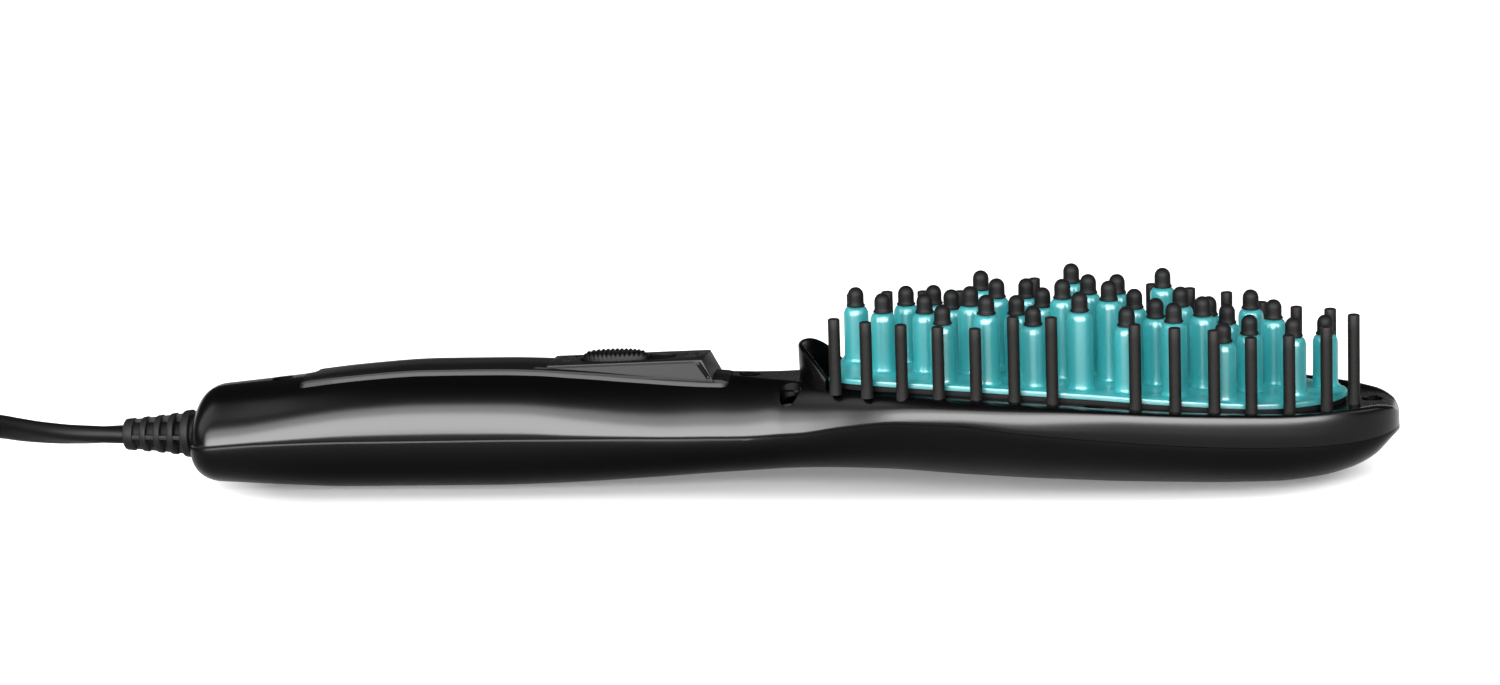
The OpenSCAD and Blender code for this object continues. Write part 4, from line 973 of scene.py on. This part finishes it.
# Hair guard. A thin curved wall moulded behind the bristles; it keeps hair off the
# handle, and its rim falls off towards both ends.
guard_x, guard_r, guard_t, guard_end = 16.9, 12.8, 1.3, 66.4
guard_high, guard_low, guard_fall = 31.6, 21.5, 6.3


def guard_rim(angle):
    """Height of the rim, which falls off towards both ends."""
    fall = (1 - math.cos(math.radians(angle))) / (1 - math.cos(math.radians(guard_end)))
    return guard_high - guard_fall * fall ** 1.5


guard_rings = []
for k in range(-40, 41):
    angle = guard_end * k / 40
    rim = guard_rim(angle)
    outline = [(0, guard_low), (0, between(guard_low, rim, 0.5)), (0, rim - 0.5),
               (0.1, rim - 0.25), (0.3, rim - 0.08), (guard_t / 2, rim),
               (guard_t - 0.3, rim - 0.08), (guard_t - 0.1, rim - 0.25), (guard_t, rim - 0.5),
               (guard_t, between(guard_low, rim, 0.5)), (guard_t, guard_low)]
    guard_rings.append([(guard_x - (guard_r - d) * math.cos(math.radians(angle)),
                         (guard_r - d) * math.sin(math.radians(angle)), z) for d, z in outline])
guard_abs = surface("guard_satin_abs", (0.0012, 0.0012, 0.0013), (0.002, 0.002, 0.0021), 20,
                    (0.24, 0.3), 0.4, 0.003, specular=0.035)
guard = moulding("hair_guard_wall", *through(guard_rings), guard_abs, sharp=40)
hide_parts("hair_guard")


# Heated plate and its frame. A cast aluminium plate with a gloss turquoise ceramic coat,
# which lies on a black heat-resistant frame over the deck, clear of the housing.
plate_line = [(12.5, 11), (17, 13.6), (25, 15.9), (40, 18.2), (60, 20), (80, 20.6), (92, 20.1),
              (101, 19), (107, 17.8), (113, 15.2), (119, 11.7), (124, 7.7), (127, 3.8), (128, 1)]
plate_start, plate_end, frame_h, plate_t = 12.5, 128, 1.2, 1.3
plate_places = ([plate_start + d for d in (0, 0.06, 0.2, 0.45, 0.75)]
                + [13.8 + 1.2 * k for k in range(93)] + [124.6 + 0.5 * k for k in range(6)]
                + [plate_end - d for d in (0.55, 0.3, 0.12, 0.03, 0)])


def plate_body(inset, low, high, edge):
    """Rings of a plate that follows the deck: its top edge is rounded by edge."""
    rings = []
    for x in plate_places:
        x = min(max(x, plate_start + inset), plate_end - inset)
        ends = min(x - plate_start - inset, plate_end - inset - x)
        sunk = edge * (1 - math.sqrt(1 - (1 - min(1, ends / edge)) ** 2)) if edge else 0
        half = max(0.3, line_at(x, plate_line) - inset)
        side = [(half, low)]
        for k in range(5):
            angle = math.radians(22.5 * k)
            side.append((half - edge * (1 - math.cos(angle)),
                         high - edge + edge * math.sin(angle) - sunk * math.sin(angle)))
        inner = max(0.05, side[-1][0])
        ys = side + [(inner * k, side[-1][1]) for k in (0.66, 0.33, 0, -0.33, -0.66)]
        ring = ys + [(-y, z) for y, z in reversed(side)]
        rings.append([(x, y, floor_z(x) + z) for y, z in ring])
    return through(rings)


plate_rubber = surface("frame_resin", (0.003, 0.003, 0.0032), (0.005, 0.005, 0.0053), 6,
                       (0.45, 0.6), 0.4, 0.02, specular=0.03)
plate_frame = moulding("plate_carrier", *plate_body(0.4, -0.2, frame_h + 0.02, 0.05),
                       plate_rubber, sharp=35)
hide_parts("plate_frame")
enamel = surface("turquoise_ceramic", (0.055, 0.5, 0.53), (0.07, 0.55, 0.575), 12,
                 (0.26, 0.34), 0.9, 0.004, specular=0.26)
plate = moulding("heating_plate", *plate_body(0, frame_h, frame_h + plate_t, 0.55), enamel,
                 sharp=50)
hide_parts("heat_plate")


# Bristles. Hollow cast studs of the plate in four staggered rows, under the same coat,
# each with a rounded shoulder and its foot blended into the plate.
pitch, bristle_r, cap_r, tip_h, lean = 10.4, 2.85, 1.84, 4.4, 1.1
shoulder_in, shoulder_high, peg_r, peg_h = 1.3, 2, 1.1, 2.6
foot_flare = [(0.5, -0.5), (0.5, -0.05), (0.35, 0.05), (0.17, 0.2), (0.05, 0.45), (0, 0.85),
              (0, 2)]
rows = [
    (-14.7, 38.6, (0.5, 0.4), (20, 22.6, 20.6, 24.3, 21.7, 23.4, 19.7)),
    (-4.9, 23.4, (0.8, -0.7), (20.3, 20.4, 22.4, 20.8, 25, 25.2, 22, 23.2, 19.8, 20)),
    (4.9, 17.8, (-1.2, 1.1), (19.6, 20.1, 19.5, 22.4, 20.8, 24.4, 21.7, 23, 19.8, 21.7, 18.6)),
    (14.7, 33.8, (-0.6, -0.9), (18.4, 22.1, 20.7, 24.7, 22.8, 25, 19.2, 21.5))]


def bristle_places(row):
    """Place and height of each bristle of a row: its first and last stand off the pitch."""
    y, first, ends, heights = row
    for i, height in enumerate(heights):
        off = ends[0] if i == 0 else ends[1] if i == len(heights) - 1 else 0
        x = first + i * pitch + off
        yield Matrix.Translation((x, y, floor_z(x))) @ Matrix.Rotation(
            math.radians(lean), 4, "Y"), height


def on_plate(shape, level, reach):
    """Lowers or lifts the foot of a shape so that it follows the plate's slope."""
    points, faces = shape
    middle = sum(p[0] for p in points) / len(points)
    tilt = (floor_z(middle + 6) - floor_z(middle - 6)) / 12
    base = floor_z(middle) + level
    return [(x, y, z + tilt * (x - middle) * max(0, 1 - (z - base) / reach)) if z - base < reach
            else (x, y, z) for x, y, z in points], faces


for number, row in enumerate(rows, 1):
    studs = []
    for at, height in bristle_places(row):
        top = height - tip_h
        foot = frame_h + plate_t
        outline = [(0.01, foot - 0.5)] + [(bristle_r + out, foot + up) for out, up in foot_flare]
        outline.append((bristle_r, between(foot, top, 0.6)))
        outline += [(bristle_r - shoulder_in * (1 - math.cos(math.radians(a))),
                     top - shoulder_high * (1 - math.sin(math.radians(a))))
                    for a in range(0, 91, 10)]
        outline += [(peg_r, top), (peg_r, top + peg_h), (0.01, top + peg_h)]
        studs.append(on_plate(placed(through(turned(outline, 40)), at), foot, 3))
    stud_row = moulding("studs_row_%d" % number, *joined(*studs), enamel, sharp=50)
    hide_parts("heated_bristles_row_%d" % number)


# Tips. Matte black silicone caps pushed over the bristles' pegs, each with a round top
# and a thin flared lip where it meets the shoulder.
silicone = surface("tip_silicone", (0.006, 0.006, 0.0063), (0.01, 0.01, 0.0105), 1.6,
                   (0.48, 0.6), 0.22, 0.02, sheen=0.02, specular=0.04)
dome_start = 2.45
lip_flare = [(0.18, 0.02), (0.32, 0.12), (0.32, 0.26), (0.19, 0.42), (0.06, 0.62), (0, 0.9),
             (0, 1.6)]
for number, row in enumerate(rows, 1):
    caps = []
    for at, height in bristle_places(row):
        base = height - tip_h
        outline = [(0.01, base + 0.02)] + [(cap_r + out, base + up) for out, up in lip_flare]
        outline += [(cap_r * math.cos(math.radians(a)) ** 0.9,
                     base + dome_start + (tip_h - dome_start) * math.sin(math.radians(a)))
                    for a in range(0, 89, 8)] + [(0.01, base + tip_h)]
        caps.append(placed(through(turned(outline, 40)), at))
    cap_row = moulding("caps_row_%d" % number, *joined(*caps), silicone, sharp=60)
    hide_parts("bristle_tips_row_%d" % number)


# Guard pins. Matte black nylon rods pressed into the deck round the plate; they hold the
# scalp off the hot studs, and one more stands at the tip.
pin_r, pin_seat, pin_gap = 1.35, 1.2, 1.9
side_pins = [(14.4, 16.2), (22, 16.2), (30.2, 16.1), (38.6, 16.1), (47.1, 16.2), (55.7, 19.4),
             (64.2, 19.8), (82.6, 19.5), (91.3, 19.3), (99.8, 19.2), (107.8, 17.9),
             (115.9, 18.2), (123.8, 19)]
tip_pin_x, tip_pin_y, tip_pin_h = 129.6, -4.5, 20.3
pin_nylon = surface("pin_nylon", (0.0065, 0.006, 0.0056), (0.016, 0.0145, 0.0132), 1.4,
                    (0.42, 0.62), 0.2, 0.03, specular=0.04, wear_and_highlight=0.4)


def pin(x, y, height):
    """A pin with a softened edge and a shallow dimple in its top."""
    long = height + pin_seat
    outline = [(0.01, 0), (pin_r, 0)] + [(pin_r, long * k / 6) for k in range(1, 6)]
    outline += [(pin_r, long - 0.3), (pin_r - 0.08, long - 0.1), (pin_r - 0.3, long),
                (0.7, long), (0.6, long - 0.06), (0.01, long - 0.06)]
    return placed(through(turned(outline, 32)), Matrix.Translation(
        (x, y, floor_z(x) - pin_seat)) @ Matrix.Rotation(math.radians(lean), 4, "Y"))


for name, side in (("front", -1), ("rear", 1)):
    rods = [pin(x, side * (line_at(x, plate_line) + pin_gap), h) for x, h in side_pins]
    pin_row = moulding("pins_" + name, *joined(*rods), pin_nylon, sharp=30)
    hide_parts("guard_pins_" + name)
tip_rod = moulding("pin_tip", *pin(tip_pin_x, tip_pin_y, tip_pin_h), pin_nylon, sharp=30)
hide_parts("guard_pin_tip")


# Housing screws. Seven black pan-head screws with a cross recess, driven down through
# the upper shell; their heads sit in the round recesses.
screw_black = surface("black_oxide", (0.05, 0.05, 0.052), (0.11, 0.11, 0.113), 1.2,
                      (0.26, 0.4), 0.25, 0.015, metal=0.9)
cross_reach, cross_w, cross_deep = 1.25, 0.55, 0.8
screw_shapes, crosses = [], []
for x, y, seat, end, radius in screw_places:
    seat_z, end_z = seam_z(x) + seat, seam_z(x) - end
    head_z = seat_z + head_h
    screw_shapes.append(placed(through(turned([(0.01, end_z)] + rounded_profile(
        [(0.9, end_z), (thread_r, end_z + 0.8), (thread_r, seat_z), (head_r, seat_z),
         (head_r, head_z), (0.01, head_z)], 0.5), 36)), Matrix.Translation((x, y, 0))))
    for turn in (20, 110):
        arm = Vector((math.cos(math.radians(turn)), math.sin(math.radians(turn)), 0))
        middle = Vector((x, y, head_z))
        crosses.append(beam(middle - cross_reach * arm, middle + cross_reach * arm, cross_w,
                            -cross_deep, 1))
screws = cut(moulding("case_screws", *joined(*screw_shapes), screw_black, sharp=30), crosses)
screws.data.set_sharp_from_angle(angle=math.radians(30))
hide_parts("housing_screws")


# Table and light. A white table that curves up far away, a plain soft box in front and one
# at either side, and two bright strips that only gloss shows; none of it is the brush's.
table_r, cove_r, table_sides = 7.2, 1.0, 72
near_r, far_r, painted_shade_lift, far_lift, shade_half = 0.014, 0.038, 0.22, 1.0, 0.105
table_white = bpy.data.materials.new("table_white")
table_white.use_nodes = True
nodes, link = table_white.node_tree.nodes, table_white.node_tree.links.new
shader = nodes["Principled BSDF"]
shader.inputs["Base Color"].default_value = (0.8, 0.8, 0.8, 1)
shader.inputs["Roughness"].default_value = 0.9
shader.inputs["Specular IOR Level"].default_value = 0.0
shader.inputs["Emission Color"].default_value = (1, 1, 1, 1)
# How far a spot of the table lies from the line along the brush: close to it the table gives less
# of its own light, a painted shade round the brush
spot = nodes.new("ShaderNodeTexCoord")
reach = nodes.new("ShaderNodeVectorMath")
reach.operation = "LENGTH"
outside = spot.outputs["Object"]
for how, amount in (("ABSOLUTE", (0, 0, 0)), ("SUBTRACT", (shade_half, 0, 0)),
                    ("MAXIMUM", (0, 0, 0))):
    step = nodes.new("ShaderNodeVectorMath")
    step.operation = how
    step.inputs[1].default_value = amount
    link(outside, step.inputs[0])
    outside = step.outputs["Vector"]
link(outside, reach.inputs[0])
lift = nodes.new("ShaderNodeMapRange")
lift.interpolation_type = "SMOOTHSTEP"
for socket, value in (("From Min", near_r), ("From Max", far_r), ("To Min", painted_shade_lift),
                      ("To Max", far_lift)):
    lift.inputs[socket].default_value = value
link(reach.outputs["Value"], lift.inputs["Value"])
# The table looks white to the camera and in what mirrors it, but for a painted shade round the
# brush, where its own light is lowered; it sends no light of its own onto the brush's colours
rays = nodes.new("ShaderNodeLightPath")
seen = rays.outputs["Is Camera Ray"]
for kind in ("Is Glossy Ray", "Is Transmission Ray"):
    either = nodes.new("ShaderNodeMath")
    either.operation = "MAXIMUM"
    link(seen, either.inputs[0])
    link(rays.outputs[kind], either.inputs[1])
    seen = either.outputs["Value"]
shown = nodes.new("ShaderNodeMath")
shown.operation = "MULTIPLY"
link(seen, shown.inputs[0])
link(lift.outputs["Result"], shown.inputs[1])
link(shown.outputs["Value"], shader.inputs["Emission Strength"])

profile = [(0.0, 0.0), (table_r, 0.0)] + [
    (table_r + cove_r * math.sin(math.radians(a)), cove_r * (1 - math.cos(math.radians(a))))
    for a in range(10, 91, 10)]
table_points = [(0, 0, 0)] + [
    (r * math.cos(2 * math.pi * k / table_sides), r * math.sin(2 * math.pi * k / table_sides), z)
    for r, z in profile[1:] for k in range(table_sides)]
table_faces = [(0, 1 + k, 1 + (k + 1) % table_sides) for k in range(table_sides)]
for i in range(len(profile) - 2):
    a, b = 1 + i * table_sides, 1 + (i + 1) * table_sides
    table_faces += [(a + k, b + k, b + (k + 1) % table_sides, a + (k + 1) % table_sides)
                    for k in range(table_sides)]
table_mesh = bpy.data.meshes.new("table")
table_mesh.from_pydata(table_points, [], table_faces)
table_mesh.shade_smooth()
table = bpy.data.objects.new("table", table_mesh)
table_mesh.materials.append(table_white)
bpy.context.scene.collection.objects.link(table)
table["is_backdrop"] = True

world_light = 0.05
world = bpy.data.worlds.new("studio")
bpy.context.scene.world = world
world.use_nodes = True
world.node_tree.nodes["Background"].inputs["Color"].default_value = (1, 1, 1, 1)
world.node_tree.nodes["Background"].inputs["Strength"].default_value = world_light


def soft_box(name, place, size, watts, shine_only=False):
    """A rectangular lamp that faces the brush; one for shine alone leaves colours as they are."""
    lamp = bpy.data.lights.new(name, "AREA")
    lamp.shape = "RECTANGLE"
    lamp.size, lamp.size_y = size
    lamp.energy = watts
    box = bpy.data.objects.new(name, lamp)
    box.location = place
    box.rotation_euler = (-Vector(place)).to_track_quat("-Z", "Y").to_euler()
    box.visible_diffuse = not shine_only
    bpy.context.scene.collection.objects.link(box)


soft_box("front_box", (-0.3, -1.4, 0.8), (2.2, 1.4), 22)
soft_box("left_box", (-1.35, -0.1, 1.15), (0.85, 1.2), 11)
soft_box("right_box", (1.35, 0.2, 1.15), (0.85, 1.2), 11)
# Two strips in front of the brush, which show in gloss as a band with soft edges
strip_away, strip_wide, aim = 1.5, 3.6, math.radians(-85)
for name, height, high, shine in (("shine_low", 20, 1.05, 42), ("shine_high", 48, 0.44, 17)):
    climb = math.radians(height)
    place = tuple(strip_away * c for c in (math.cos(climb) * math.cos(aim),
                                           math.cos(climb) * math.sin(aim), math.sin(climb)))
    soft_box(name, place, (strip_wide, high), shine * math.pi * strip_wide * high, True)

low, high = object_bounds()
{"cad_box": [list(cad_low), list(cad_high)], "visual_box": [list(low), list(high)]}
